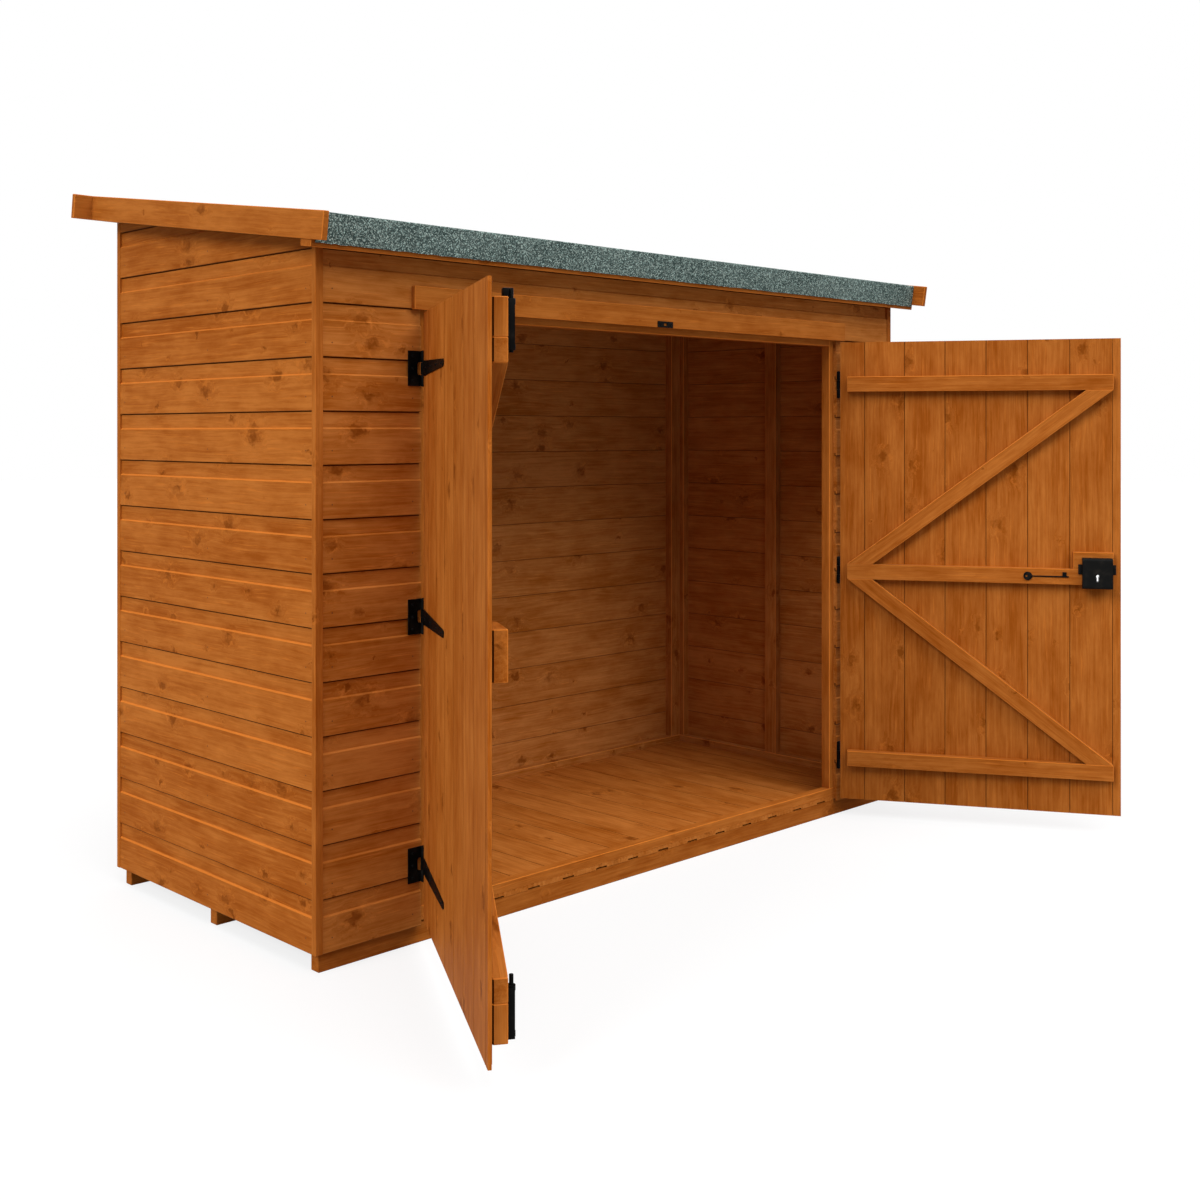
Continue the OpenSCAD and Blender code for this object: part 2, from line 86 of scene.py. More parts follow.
# Marks of faces: above nought the edge is worn pale and carries a painted highlight, below nought the face
# carries painted shade
JOINT_SHADE, LAP_GAP_SHADE, LAP_NOSE_SHADE, INNER_SEAM_SHADE, DOOR_SEAM_SHADE = -1.0, -0.8, -0.6, -0.45, -0.55
# Door and corner edges carry a little of the pale colour and painted highlight; the joists' eased edges are
# a little darker
WORN_AND_LIT, DOOR_EDGE, CORNER_EDGE, JOIST_EDGE = 1.0, 0.3, 0.15, -0.3


# Sizes and colours that a user may change

def number(label, note, default, **more):
    """A plain number property."""
    return FloatProperty(name=label, description=note, default=default, precision=4, **more)


def length(label, note, default):
    """A length property in metres."""
    return number(label, note, default, min=0.0, unit="LENGTH")


def turn(label, note, degrees):
    """An angle property."""
    return number(label, note, math.radians(degrees), subtype="ANGLE")


def colour(label, note, default):
    """A linear colour property."""
    return FloatVectorProperty(
        name=label, description=note, default=default, subtype="COLOR", size=3, min=0.0, max=1.0
    )


class ShedTimber(PropertyGroup):
    """Sizes of the boards and timbers."""

    board_step: length("Board cover", "Height that each lapped board covers", 114 * MM)
    recess_height: length("Hollow height", "Hollow along the top of each lapped board", 35 * MM)
    recess_depth: length("Hollow depth", "Depth of that hollow", 4 * MM)
    shoulder: length("Shoulder", "Height of the slope under the hollow", 3.4 * MM)
    lap_gap: length("Lap gap", "Height of the dark gap under each board's lip", 2.4 * MM)
    lap_gap_depth: length("Lap gap depth", "Depth of that gap behind the hollow", 4 * MM)
    tongue: length("Tongue", "Height of the tongue behind the next board", 7 * MM)
    lap_room: length("Lap room", "Room left around a tongue", 0.4 * MM)
    lap_nose: length("Lap nose", "Width of the slope along a lapped board's edges", 1 * MM)
    # These values paint a highlight on the slope under each hollow, stronger on the side and rear walls than
    # on the front
    side_shoulder_highlight: number("Side shoulders", "How thin the stain lies on the side and rear slopes", 0.85)
    front_shoulder_highlight: number("Front shoulders", "How thin the stain lies on the front slopes", 0.20)
    worn_edge: length("Worn edge", "Width of the eased edge on sawn timber", 1.6 * MM)
    floor_pitch: length("Floor board pitch", "Width that each floor board covers", 115.6 * MM)
    floor_start: length("Floor joint", "Place of one floor joint along the front", 30 * MM)
    floor_slot: length("Floor slot width", "Width of the hollow under a floor joint", 38 * MM)
    floor_slot_height: length("Floor slot height", "Height of that hollow", 4.2 * MM)
    floor_nose: length("Floor nose", "Width of the slope along a floor board's edges", 0.8 * MM)
    door_board: length("Door board", "Width that each door board covers", 114 * MM)
    door_edge_strip: length("Door edge strip", "Width of the strip at a door's free edge", 22 * MM)
    door_edge_step: length("Door edge step", "How much thinner that strip is on the left door", 5 * MM)
    door_joint: length("Door joint", "Width of the slope on each side of a door joint", 1.1 * MM)
    door_nose: length("Door nose", "Width of the eased edge at a door's sides", 0.8 * MM)
    door_slit: length("Door slit", "Depth of the slit at the ends of the left door's ledges", 3 * MM)
    roof_board: length("Roof board", "Width that each roof board covers", 95 * MM)
    nail_radius: length("Nail head", "Radius of a nail head", 1.7 * MM)
    nail_inset: length("Nail inset", "Distance of a nail from a board's end", 24 * MM)
    nail_height: length("Nail height", "Height of a nail above a board's foot", 30 * MM)


class ShedRoof(PropertyGroup):
    """Slope of the roof and the lay of its felt."""

    pitch: turn("Pitch", "Fall of the roof towards the front", 8.3)
    lap_rise: length("Lap rise", "Height of the step at the lap", 1.6 * MM)
    clout_pitch: length("Clout pitch", "Spacing of the clout nails", 120 * MM)
    clout_radius: length("Clout head", "Radius of a clout nail's head", 5 * MM)
    clout_margin: length("Clout margin", "Distance of the clout nails from an edge", 22 * MM)
    ragged: length("Ragged edge", "Unevenness of the felt's cut edge", 0.9 * MM)


class ShedIron(PropertyGroup):
    """Details of the hinges, bolts and lock."""

    hinge_iron: length("Hinge iron", "Thickness of the hinges' plates and straps", 2.5 * MM)
    plate_notch: length("Plate notch", "Depth of the opening beside a hinge's knuckle", 7 * MM)
    bolt_iron: length("Bolt iron", "Thickness of the bolts' plates", 2 * MM)
    screw_radius: length("Screw head", "Radius of a screw head", 3.6 * MM)
    case_edge: length("Case edge", "Radius of the lock's rounded edges", 8 * MM)
    key_slot: length("Keyhole width", "Width of the keyhole's slot", 6 * MM)
    key_round: length("Keyhole round", "Radius of the keyhole's round part", 4.6 * MM)
    key_height: length("Keyhole height", "Length of the keyhole below its round part", 15 * MM)
    key_drop: length("Keyhole drop", "Distance of the round part below the lock's middle", 7 * MM)
    bore: length("Lock bore", "Radius of the hole through the door behind the lock", 15 * MM)
    ear: length("Lock ears", "Reach of the ears beside the lock", 10 * MM)


class ShedFinish(PropertyGroup):
    """Colours of the finishes."""

    stain_light: colour("Light stain", "Pale streaks in the stained timber", (0.480, 0.152, 0.025))
    stain_dark: colour("Dark stain", "Deep streaks in the stained timber", (0.300, 0.070, 0.0050))
    stain_knot: colour("Knots", "Knots in the stained timber", (0.165, 0.034, 0.0004))
    # This pale colour serves the streaks, flecks and worn edges, and also the painted highlight on edges and
    # shoulders
    stain_pale_and_highlight: colour("Edges", "Edges where the stain lies thin", (0.640, 0.190, 0.026))
    # This dark colour is painted shade in joints, gaps, slits and under lips
    joint: colour("Joints", "Shadowed joints that the stain has filled", (0.055, 0.014, 0.0018))
    felt_dark: colour("Dark felt grains", "Darkest mineral grains", (0.026, 0.044, 0.042))
    felt_light: colour("Pale felt grains", "Palest mineral grains", (0.440, 0.540, 0.510))
    iron: colour("Ironwork", "Black paint of the hinges and bolts", (0.0030, 0.0028, 0.0027))
    lock: colour("Lock", "Black paint of the lock", (0.0055, 0.0055, 0.0053))
    nail: colour("Nails", "Stain over the nail heads", (0.16, 0.06, 0.018))


class ShedStage(PropertyGroup):
    """Light, floor and camera."""

    key: number("Key light", "Strength of the light from the left", 2.1, min=0.0)
    top: number("Top light", "Strength of the light above the front", 2.9, min=0.0)
    back: number("Back light", "Strength of the light from behind", 0.8, min=0.0)
    ambient: number("Ambient", "Strength of the light all round", 0.27, min=0.0)
    lens: number("Lens", "Focal length in millimetres", 43.54, min=1.0)
    shift_x: number("Shift X", "Sideways shift of the picture", 0.0414)
    shift_y: number("Shift Y", "Upward shift of the picture", -0.1396)
    place: FloatVectorProperty(
        name="Camera", description="Place of the camera", default=(-2.8043, -2.9635, 1.1363),
        subtype="TRANSLATION",
    )
    heading: turn("Heading", "Turn of the view from straight on", 43.67)
    floor_size: length("Floor", "Width of the floor", 60.0)
    floor_bounce: number("Floor bounce", "Share of the light that the floor throws back", 0.35, min=0.0)


SETTINGS = {
    "shed_timber": ShedTimber, "shed_roof": ShedRoof, "shed_iron": ShedIron,
    "shed_finish": ShedFinish, "shed_stage": ShedStage,
}


# Places read from the frame

def merged_copy(node):
    """A bmesh copy of a node with its loose triangles joined into flat faces."""
    copy = bmesh.new()
    copy.from_mesh(frame["nodes"][node].data)
    bmesh.ops.remove_doubles(copy, verts=copy.verts, dist=NEAR)
    bmesh.ops.dissolve_limit(copy, angle_limit=math.radians(0.5), verts=copy.verts, edges=copy.edges)
    return copy


def islands(mesh):
    """The separate solids of a bmesh, as lists of vertices."""
    found = []
    seen = set()
    for start in mesh.verts:
        if start in seen:
            continue
        seen.add(start)
        group = [start]
        for vert in group:
            for edge in vert.link_edges:
                other = edge.other_vert(vert)
                if other not in seen:
                    seen.add(other)
                    group.append(other)
        found.append(group)
    return found


def span(points):
    """Lowest and highest corners of some points."""
    return Vector(map(min, zip(*points))), Vector(map(max, zip(*points)))


def solids(node, place):
    """Boxes of a node's solids in the frame of place, from low to high."""
    copy = merged_copy(node)
    copy.transform(place.inverted())
    boxes = [span([v.co for v in group]) for group in islands(copy)]
    copy.free()
    return sorted(boxes, key=lambda box: box[0].z)


def local_box(node, place):
    """Box of a whole node in the frame of place."""
    back = place.inverted()
    return span([back @ v.co for v in frame["nodes"][node].data.vertices])


def hinge_place(side, shut=False):
    """Frame of a door at rest, or shut: pin at the origin, leaf along X, outer face towards -Y."""
    joint = next(j for j in frame["joints"] if j["name"] == side + "_door_hinge")
    pin = Vector(joint["pos_m"])
    swing = 0.0 if shut else -math.radians(joint["range_deg"][0]) * joint["axis"][2]
    hand = Matrix.Diagonal((1 if side == "left" else -1, 1, 1, 1))
    return Matrix.Translation((pin.x, pin.y, 0)) @ Matrix.Rotation(swing, 4, "Z") @ hand


def roof_place():
    """Frame of the roof: X along the front eaves, Y up the slope, Z square to it."""
    pitch = bpy.context.scene.shed_roof.pitch
    low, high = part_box("front_left_wall")
    wall_top = high.z - (high.y - low.y) * math.tan(pitch)
    return Matrix.Translation((0, low.y, wall_top)) @ Matrix.Rotation(pitch, 4, "X")


# Mesh work

def blank():
    """An empty bmesh with the layers that the timber finish reads."""
    mesh = bmesh.new()
    mesh.verts.layers.float_vector.new("grain")
    mesh.faces.layers.float.new("tone")
    mesh.faces.layers.float.new("edge")
    return mesh


def join(target, part, place=HERE):
    """Moves a part into place and adds it to a target bmesh."""
    part.transform(place)
    if place.determinant() < 0:
        bmesh.ops.reverse_faces(part, faces=part.faces)
    carrier = bpy.data.meshes.new("carrier")
    part.to_mesh(carrier)
    part.free()
    target.from_mesh(carrier)
    bpy.data.meshes.remove(carrier)


def of_kind(geom, kind):
    """The elements of one kind in an operator's result."""
    return [g for g in geom if isinstance(g, kind)]


def mark_faces(mesh, faces, mark):
    """Marks faces as worn pale with a painted highlight, or with painted shade."""
    edge_marks = mesh.faces.layers.float["edge"]
    for face in faces:
        face[edge_marks] = mark


def shade(mesh, test, mark):
    """Marks the faces that pass a test."""
    mark_faces(mesh, [f for f in mesh.faces if test(f)], mark)


def ease(mesh, edges, width, segments=2, mark=WORN_AND_LIT):
    """Rounds edges and marks the new faces."""
    rounded = bmesh.ops.bevel(
        mesh, geom=edges, offset=width, offset_type="OFFSET", segments=segments, profile=0.5,
        affect="EDGES", material=-1, clamp_overlap=True,
    )
    mark_faces(mesh, rounded["faces"], mark)


def sharp_edges(mesh, angle=BENT):
    """Edges whose faces meet at more than an angle."""
    return [e for e in mesh.edges if len(e.link_faces) == 2 and e.calc_face_angle(0.0) > angle]


def eased_copy(node, width, angle=BENT, segments=2, mark=WORN_AND_LIT):
    """A copy of a node with its sharp edges eased."""
    mesh = blank()
    join(mesh, merged_copy(node))
    ease(mesh, sharp_edges(mesh, angle), width, segments, mark)
    return mesh


def sweep(mesh, faces, reach):
    """Extrudes faces along a vector into a closed solid."""
    swept = bmesh.ops.extrude_face_region(mesh, geom=faces)
    bmesh.ops.translate(mesh, vec=reach, verts=of_kind(swept["geom"], bmesh.types.BMVert))
    bmesh.ops.recalc_face_normals(mesh, faces=mesh.faces)
    return mesh


def prism(outline, reach):
    """A bar from X = 0 to reach, whose section is an outline of (y, z) points."""
    bar = blank()
    end = bar.faces.new([bar.verts.new((0, y, z)) for y, z in outline])
    return sweep(bar, [end], (reach, 0, 0))


def plate(outline, holes, front, back):
    """A plate in X and Z between two depths, with an outline and holes of (x, z) points."""
    sheet = blank()
    rims = []
    for loop in [outline, *holes]:
        corners = [sheet.verts.new((x, front, z)) for x, z in loop]
        rims += [sheet.edges.new((a, b)) for a, b in zip(corners, corners[1:] + corners[:1])]
    filled = bmesh.ops.triangle_fill(sheet, edges=rims, use_beauty=True)
    return sweep(sheet, of_kind(filled["geom"], bmesh.types.BMFace), (0, back - front, 0))


def rectangle(left, bottom, right, top):
    """Corner points of a rectangle."""
    return [(left, bottom), (right, bottom), (right, top), (left, top)]


def ring(centre, radius, count=20):
    """Points of a circle about a centre of two coordinates."""
    turns = [2 * math.pi * k / count for k in range(count)]
    return [(centre[0] + radius * math.cos(t), centre[1] + radius * math.sin(t)) for t in turns]


def block(low, high):
    """A solid that fills a box."""
    solid = blank()
    made = bmesh.ops.create_cube(solid, size=1.0)["verts"]
    bmesh.ops.scale(solid, vec=high - low, verts=made)
    bmesh.ops.translate(solid, vec=(low + high) / 2, verts=made)
    return solid


def eased_box(low, high, width, mark=WORN_AND_LIT, slit=0.0):
    """A board or bar with eased edges that fills a box. Its end may fall away behind by a slit painted with
    shade.
    """
    board = block(low, high)
    if slit:
        far, back = high.x - NEAR, low.y + NEAR
        rim = [e for e in board.edges if all(v.co.x > far and v.co.y < back for v in e.verts)]
        ease(board, rim, slit, 1, JOINT_SHADE)
    ease(board, sharp_edges(board, SQUARE), width, mark=mark)
    return board


def cut(mesh, point, normal):
    """Removes what lies beyond a plane and closes the cut with faces of the first finish that carry painted
    shade.
    """
    parts = mesh.verts[:] + mesh.edges[:] + mesh.faces[:]
    sliced = bmesh.ops.bisect_plane(
        mesh, geom=parts, dist=NEAR / 10, plane_co=point, plane_no=normal, clear_outer=True
    )
    rim = of_kind(sliced["geom_cut"], bmesh.types.BMEdge)
    if rim:
        caps = bmesh.ops.holes_fill(mesh, edges=rim, sides=0)["faces"]
        mark_faces(mesh, caps, LAP_GAP_SHADE)
        for face in caps:
            face.material_index = 0


def add_head(mesh, point, facing, radius, place=HERE, height=1.4 * MM):
    """Seats a pan head with a socket on a point of a mesh, facing along a direction."""
    taper, rim, sink = 0.72, 0.3, 0.6
    head = blank()
    cone = bmesh.ops.create_cone(
        head, cap_ends=True, segments=14, radius1=radius, radius2=radius * taper, depth=height
    )
    bmesh.ops.translate(head, vec=(0, 0, height / 2), verts=cone["verts"])
    top = max(head.faces, key=lambda f: f.calc_center_median().z)
    bmesh.ops.inset_individual(head, faces=[top], thickness=radius * rim)
    bmesh.ops.translate(head, vec=(0, 0, -height * sink), verts=top.verts)
    upright = Z.rotation_difference(facing).to_matrix().to_4x4()
    join(mesh, head, place @ Matrix.Translation(point) @ upright)


def steady(direction):
    """A direction or its opposite, so that equal edges and faces give the same one on each run."""
    return direction if direction.dot(ODD) > 0 else -direction


def stamp(mesh, name):
    """Gives each solid of a mesh its own grain along its length, and its own tone."""
    chance = random.Random(name)
    reach = 30
    grain = mesh.verts.layers.float_vector["grain"]
    tone = mesh.faces.layers.float["tone"]
    for group in islands(mesh):
        edges = {e for v in group for e in v.link_edges if e.calc_face_angle(0.0) > FLAT}
        faces = {f for v in group for f in v.link_faces}
        runs = [steady(e.verts[1].co - e.verts[0].co) for e in edges]
        along = max(runs, key=lambda run: (round(run.length, 5), run.dot(ODD))).normalized()
        sides = [(round(f.calc_area(), 6), steady(f.normal)) for f in faces]
        broad = max(sides, key=lambda side: (side[0], side[1].dot(ODD)))[1]
        wide = broad.cross(along).normalized()
        axes = (along, wide, along.cross(wide))
        lie = Vector([chance.uniform(0, reach) for _ in axes])
        for vert in group:
            vert[grain] = Vector([vert.co.dot(axis) for axis in axes]) + lie
        depth = chance.random()
        for face in faces:
            face[tone] = depth


def smooth(mesh):
    """Shades a mesh smooth except across its sharp edges."""
    crease = math.radians(32)
    for face in mesh.faces:
        face.smooth = True
    for edge in mesh.edges:
        edge.smooth = len(edge.link_faces) == 2 and edge.calc_face_angle(0.0) < crease


def hand_over(mesh, name, slot, node, *finishes):
    """Makes a piece of a finished mesh. It stands for a node and rides with it, or rides on the shed."""
    data = bpy.data.meshes.new(name)
    mesh.to_mesh(data)
    mesh.free()
    for finish in finishes:
        data.materials.append(FINISHES[finish])
    piece = bpy.data.objects.new(name, data)
    bpy.context.scene.collection.objects.link(piece)
    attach(piece, frame["nodes"][node]["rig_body"] if node else "shed")
    if node:
        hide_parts(node)


def fit_timber(mesh, name, slot, node, *finishes):
    """Gives a timber piece its grain and hands it over."""
    stamp(mesh, node)
    hand_over(mesh, name, slot, node, *finishes)


def fit_metal(mesh, name, node, slot="ironwork", finish="iron"):
    """Shades a metal piece smooth and hands it over."""
    smooth(mesh)
    hand_over(mesh, name, slot, node, finish)


def dress_timber(node, finish, slot, mark=WORN_AND_LIT, name=None):
    """Replaces a node by a copy with eased edges and grain."""
    name = name or node + "_timber"
    mesh = eased_copy(node, bpy.context.scene.shed_timber.worn_edge, mark=mark)
    stamp(mesh, name)
    hand_over(mesh, name, slot, node, finish)


# Shader work

def put(tree, kind, inputs=None, **settings):
    """Adds a node. Its inputs are given by name or number, each a value or another node's output."""
    node = tree.nodes.new(kind)
    for key, value in settings.items():
        setattr(node, key, value)
    for key, value in (inputs or {}).items():
        if isinstance(value, bpy.types.NodeSocket):
            tree.links.new(value, node.inputs[key])
        else:
            node.inputs[key].default_value = value
    return node


def calc(tree, operation, first, second=0.0, third=0.0):
    """Output of a Math node."""
    return put(tree, "ShaderNodeMath", {0: first, 1: second, 2: third}, operation=operation).outputs[0]


def vector(tree, operation, first, second):
    """Output of a Vector Math node."""
    return put(tree, "ShaderNodeVectorMath", {0: first, 1: second}, operation=operation).outputs[0]


def blend(tree, share, first, second, kind="MIX"):
    """Output of a colour Mix node."""
    node = put(tree, "ShaderNodeMix", {0: share, 6: first, 7: second}, data_type="RGBA", blend_type=kind)
    return node.outputs[2]


def ramp(tree, value, low, high, start=0.0, end=1.0):
    """A value eased from start to end as it goes from low to high."""
    inputs = {0: value, 1: low, 2: high, 3: start, 4: end}
    return put(tree, "ShaderNodeMapRange", inputs, interpolation_type="SMOOTHSTEP").outputs[0]


def cloud(tree, place, scale, detail=2.0, roughness=0.5):
    """Value of a Noise texture over a place with its axes scaled apart."""
    spot = vector(tree, "MULTIPLY", place, scale)
    inputs = {"Vector": spot, "Scale": 1.0, "Detail": detail, "Roughness": roughness}
    return put(tree, "ShaderNodeTexNoise", inputs).outputs[0]


SOCKETS = {1: "NodeSocketFloat", 3: "NodeSocketVector", 4: "NodeSocketColor"}


def new_group(name, **inputs):
    """A shader node group with named inputs. Returns it with those inputs and its output node."""
    group = bpy.data.node_groups.new(name, "ShaderNodeTree")
    for label, default in inputs.items():
        kind = SOCKETS[len(default) if isinstance(default, tuple) else 1]
        socket = group.interface.new_socket(name=label, in_out="INPUT", socket_type=kind)
        socket.default_value = default
    for label, width in (("Color", 4), ("Roughness", 1), ("Height", 1)):
        group.interface.new_socket(name=label, in_out="OUTPUT", socket_type=SOCKETS[width])
    return group, group.nodes.new("NodeGroupInput").outputs, group.nodes.new("NodeGroupOutput")


def put_out(group, leave, **outputs):
    """Joins what a group works out to its outputs."""
    for label, output in outputs.items():
        group.links.new(output, leave.inputs[label])
    return group


def timber_group():
    """Grain, knots, cloudy stain and worn edges of stained softwood, with a painted highlight on edges and
    painted shade in joints.
    """
    group, given, leave = new_group(
        "Stained timber", Grain=(0, 0, 0), Tone=0.5, Edge=0.0, Light=WHITE, Dark=BLACK, Knot=BLACK,
        Worn=WHITE, Joint=BLACK, Figure=0.5, Knottiness=0.5,
    )
    grain = given["Grain"]

    # Knots lie in uneven cells across the board, and only some cells hold one
    shake = put(group, "ShaderNodeTexNoise", {"Vector": grain, "Scale": 60.0, "Detail": 3.0})
    shake = vector(group, "MULTIPLY", shake.outputs["Color"], (0.050, 0.036, 0.0))
    spread = vector(group, "ADD", grain, shake)
    axes = put(group, "ShaderNodeSeparateXYZ", {0: spread}).outputs
    across = calc(group, "MULTIPLY_ADD", axes[2], 0.25, axes[1])
    flat = put(group, "ShaderNodeCombineXYZ", {0: calc(group, "MULTIPLY", axes[0], 0.7), 1: across})
    cells = put(
        group, "ShaderNodeTexVoronoi", {"Vector": flat.outputs[0], "Scale": 10.0, "Randomness": 1.0},
        voronoi_dimensions="2D",
    ).outputs
    chance = put(group, "ShaderNodeSeparateColor", {0: cells["Color"]}).outputs[0]
    size = ramp(group, chance, calc(group, "SUBTRACT", 1.0, given["Knottiness"]), 1.0, 0.0, 0.16)
    far = calc(group, "DIVIDE", cells["Distance"], calc(group, "MAXIMUM", size, 0.004))
    patchy = ramp(group, cloud(group, spread, (24, 80, 80), 3.0, 0.6), 0.34, 0.60, 0.35, 1.0)
    core = calc(group, "MULTIPLY", ramp(group, far, 0.45, 1.20, 1.0, 0.0), patchy)
    halo = ramp(group, far, 0.8, 3.0, 1.0, 0.0)

    # The grain wanders along the board and bends round its knots
    wander = calc(group, "MULTIPLY", cloud(group, grain, (1.7, 7, 7)), 0.030)
    aside = calc(group, "MULTIPLY_ADD", halo, 0.012, wander)
    push = put(group, "ShaderNodeCombineXYZ", {1: aside, 2: aside}).outputs[0]
    bent = vector(group, "ADD", grain, push)
    fine = cloud(group, bent, (3.5, 150, 150), 5.0, 0.7)
    pores = cloud(group, bent, (14, 620, 620), 2.0, 0.6)
    rings = {
        "Vector": vector(group, "MULTIPLY", bent, (0.35, 1.0, 1.0)), "Scale": 21.0, "Distortion": 7.0,
        "Detail": 2.0, "Detail Scale": 0.55, "Detail Roughness": 0.5,
    }
    arches = put(group, "ShaderNodeTexWave", rings, bands_direction="Y", wave_profile="SAW").outputs["Fac"]
    lines = calc(group, "MULTIPLY", calc(group, "SUBTRACT", arches, 0.5), given["Figure"])
    level = calc(group, "MULTIPLY_ADD", lines, 0.30, 0.5)
    layers = (
        (cloud(group, bent, (1.3, 30, 30)), 0.7),
        (fine, 1.6),
        (cloud(group, grain, (7, 17, 17), 4.0, 0.6), 1.7),
        (cloud(group, bent, (11, 62, 62), 4.0, 0.65), 0.9),
        (pores, 0.6),
        (given["Tone"], 0.30),
    )
    for value, weight in layers:
        level = calc(group, "MULTIPLY_ADD", calc(group, "SUBTRACT", value, 0.5), weight, level)
    stain = blend(group, put(group, "ShaderNodeClamp", {0: level}).outputs[0], given["Dark"], given["Light"])

    # Pale streaks round the knots, pale flecks, the knots themselves, worn edges with their painted
    # highlight, and painted shade in joints and gaps
    streaks = ramp(group, cloud(group, spread, (45, 70, 70), 3.0, 0.6), 0.50, 0.66, 0.0, 0.55)
    flecks = ramp(group, cloud(group, bent, (9, 210, 210), 3.0, 0.6), 0.55, 0.75, 0.0, 0.45)
    coats = (
        (calc(group, "MULTIPLY", halo, streaks), "Worn"),
        (flecks, "Worn"),
        (calc(group, "MULTIPLY_ADD", core, 0.66, calc(group, "MULTIPLY", halo, 0.12)), "Knot"),
        (calc(group, "MULTIPLY", calc(group, "MAXIMUM", given["Edge"], 0.0), 0.85), "Worn"),
        (calc(group, "MAXIMUM", calc(group, "MULTIPLY", given["Edge"], -1.0), 0.0), "Joint"),
    )
    for share, coat in coats:
        stain = blend(group, share, stain, given[coat])
    rough = calc(group, "MULTIPLY_ADD", fine, 0.20, 0.50)
    raised = calc(group, "MULTIPLY_ADD", fine, 0.6, calc(group, "MULTIPLY", pores, 0.5))
    height = calc(group, "MULTIPLY_ADD", core, -0.5, raised)
    return put_out(group, leave, Color=stain, Roughness=rough, Height=height)


def scuff_group():
    """Fine unevenness and dull patches of black paint on metal."""
    group, given, leave = new_group("Scuffed paint", Base=BLACK, Dull=0.5)
    place = put(group, "ShaderNodeTexCoord").outputs["Object"]
    dust = (0.030, 0.025, 0.020, 1)
    patches = cloud(group, place, (45, 45, 45), 3.0)
    skin = cloud(group, place, (900, 900, 900), 2.0)
    dusty = blend(group, ramp(group, patches, 0.5, 0.8, 0.0, 0.35), given["Base"], dust)
    rough = calc(group, "MULTIPLY_ADD", calc(group, "SUBTRACT", patches, 0.5), 0.35, given["Dull"])
    return put_out(group, leave, Color=dusty, Roughness=rough, Height=skin)


def new_material(name):
    """A material with a lone Principled shader. Returns it with its node tree and the shader's inputs."""
    finish = bpy.data.materials.new(name)
    finish.use_nodes = True
    return finish, finish.node_tree, finish.node_tree.nodes["Principled BSDF"].inputs


def dress(tree, surface, outputs, gloss, bump, depth):
    """Joins a colour, a roughness and a height to the shader's inputs."""
    tree.links.new(outputs["Color"], surface["Base Color"])
    tree.links.new(outputs["Roughness"], surface["Roughness"])
    surface["Specular IOR Level"].default_value = gloss
    relief = put(tree, "ShaderNodeBump", {"Height": outputs["Height"], "Strength": bump, "Distance": depth})
    tree.links.new(relief.outputs[0], surface["Normal"])


def opaque(values):
    """A colour with full alpha."""
    return (*values, 1.0)


def timber_material(name, group, figure, knottiness, light_tint):
    """Stained timber. Figure sets how strongly the growth rings show, and the tint scales the stain to make
    a lighter or darker copy that stands in for the light on a part.
    """
    finish, tree, surface = new_material(name)
    colours = bpy.context.scene.shed_finish
    inputs = {"Knot": opaque(colours.stain_knot), "Joint": opaque(colours.joint)}
    for label, stain in (("Light", "stain_light"), ("Dark", "stain_dark"), ("Worn", "stain_pale_and_highlight")):
        inputs[label] = opaque(Vector(getattr(colours, stain)) * Vector(light_tint))
    for label, output in (("Grain", "Vector"), ("Tone", "Fac"), ("Edge", "Fac")):
        layer = put(tree, "ShaderNodeAttribute", attribute_name=label.lower())
        inputs[label] = layer.outputs[output]
    inputs.update(Figure=figure, Knottiness=knottiness)
    timber = put(tree, "ShaderNodeGroup", inputs, node_tree=group)
    dress(tree, surface, timber.outputs, gloss=0.03, bump=0.35, depth=0.8 * MM)
    return finish


def paint_material(name, group, base, dull, metallic=0.0):
    """Black paint or oxide on metal."""
    finish, tree, surface = new_material(name)
    paint = put(tree, "ShaderNodeGroup", {"Base": opaque(base), "Dull": dull}, node_tree=group)
    surface["Metallic"].default_value = metallic
    dress(tree, surface, paint.outputs, gloss=0.04, bump=0.25, depth=0.2 * MM)
    return finish


def felt_material(colours):
    """Mineral felt: pale and dark grains set in green bitumen."""
    finish, tree, surface = new_material("mineral_felt")
    cool, warm = (0.86, 1.0, 0.98, 1), (1.0, 0.98, 0.94, 1)
    place = put(tree, "ShaderNodeTexCoord").outputs["Object"]
    grains = put(tree, "ShaderNodeTexVoronoi", {"Vector": place, "Scale": 460.0, "Randomness": 1.0}).outputs
    chance = put(tree, "ShaderNodeSeparateColor", {0: grains["Color"]}).outputs
    pale = calc(tree, "POWER", chance[0], 3.2)
    drift = cloud(tree, place, (9, 9, 9), 3.0)
    level = calc(tree, "MULTIPLY_ADD", calc(tree, "SUBTRACT", drift, 0.5), 0.28, pale)
    mineral = blend(tree, level, opaque(colours.felt_dark), opaque(colours.felt_light))
    outputs = {
        "Color": blend(tree, 1.0, mineral, blend(tree, chance[1], cool, warm), "MULTIPLY"),
        "Roughness": ramp(tree, chance[2], 0.0, 1.0, 0.7, 0.95),
        "Height": calc(tree, "SUBTRACT", 1.0, grains["Distance"]),
    }
    dress(tree, surface, outputs, gloss=0.2, bump=0.6, depth=1.0 * MM)
    return finish


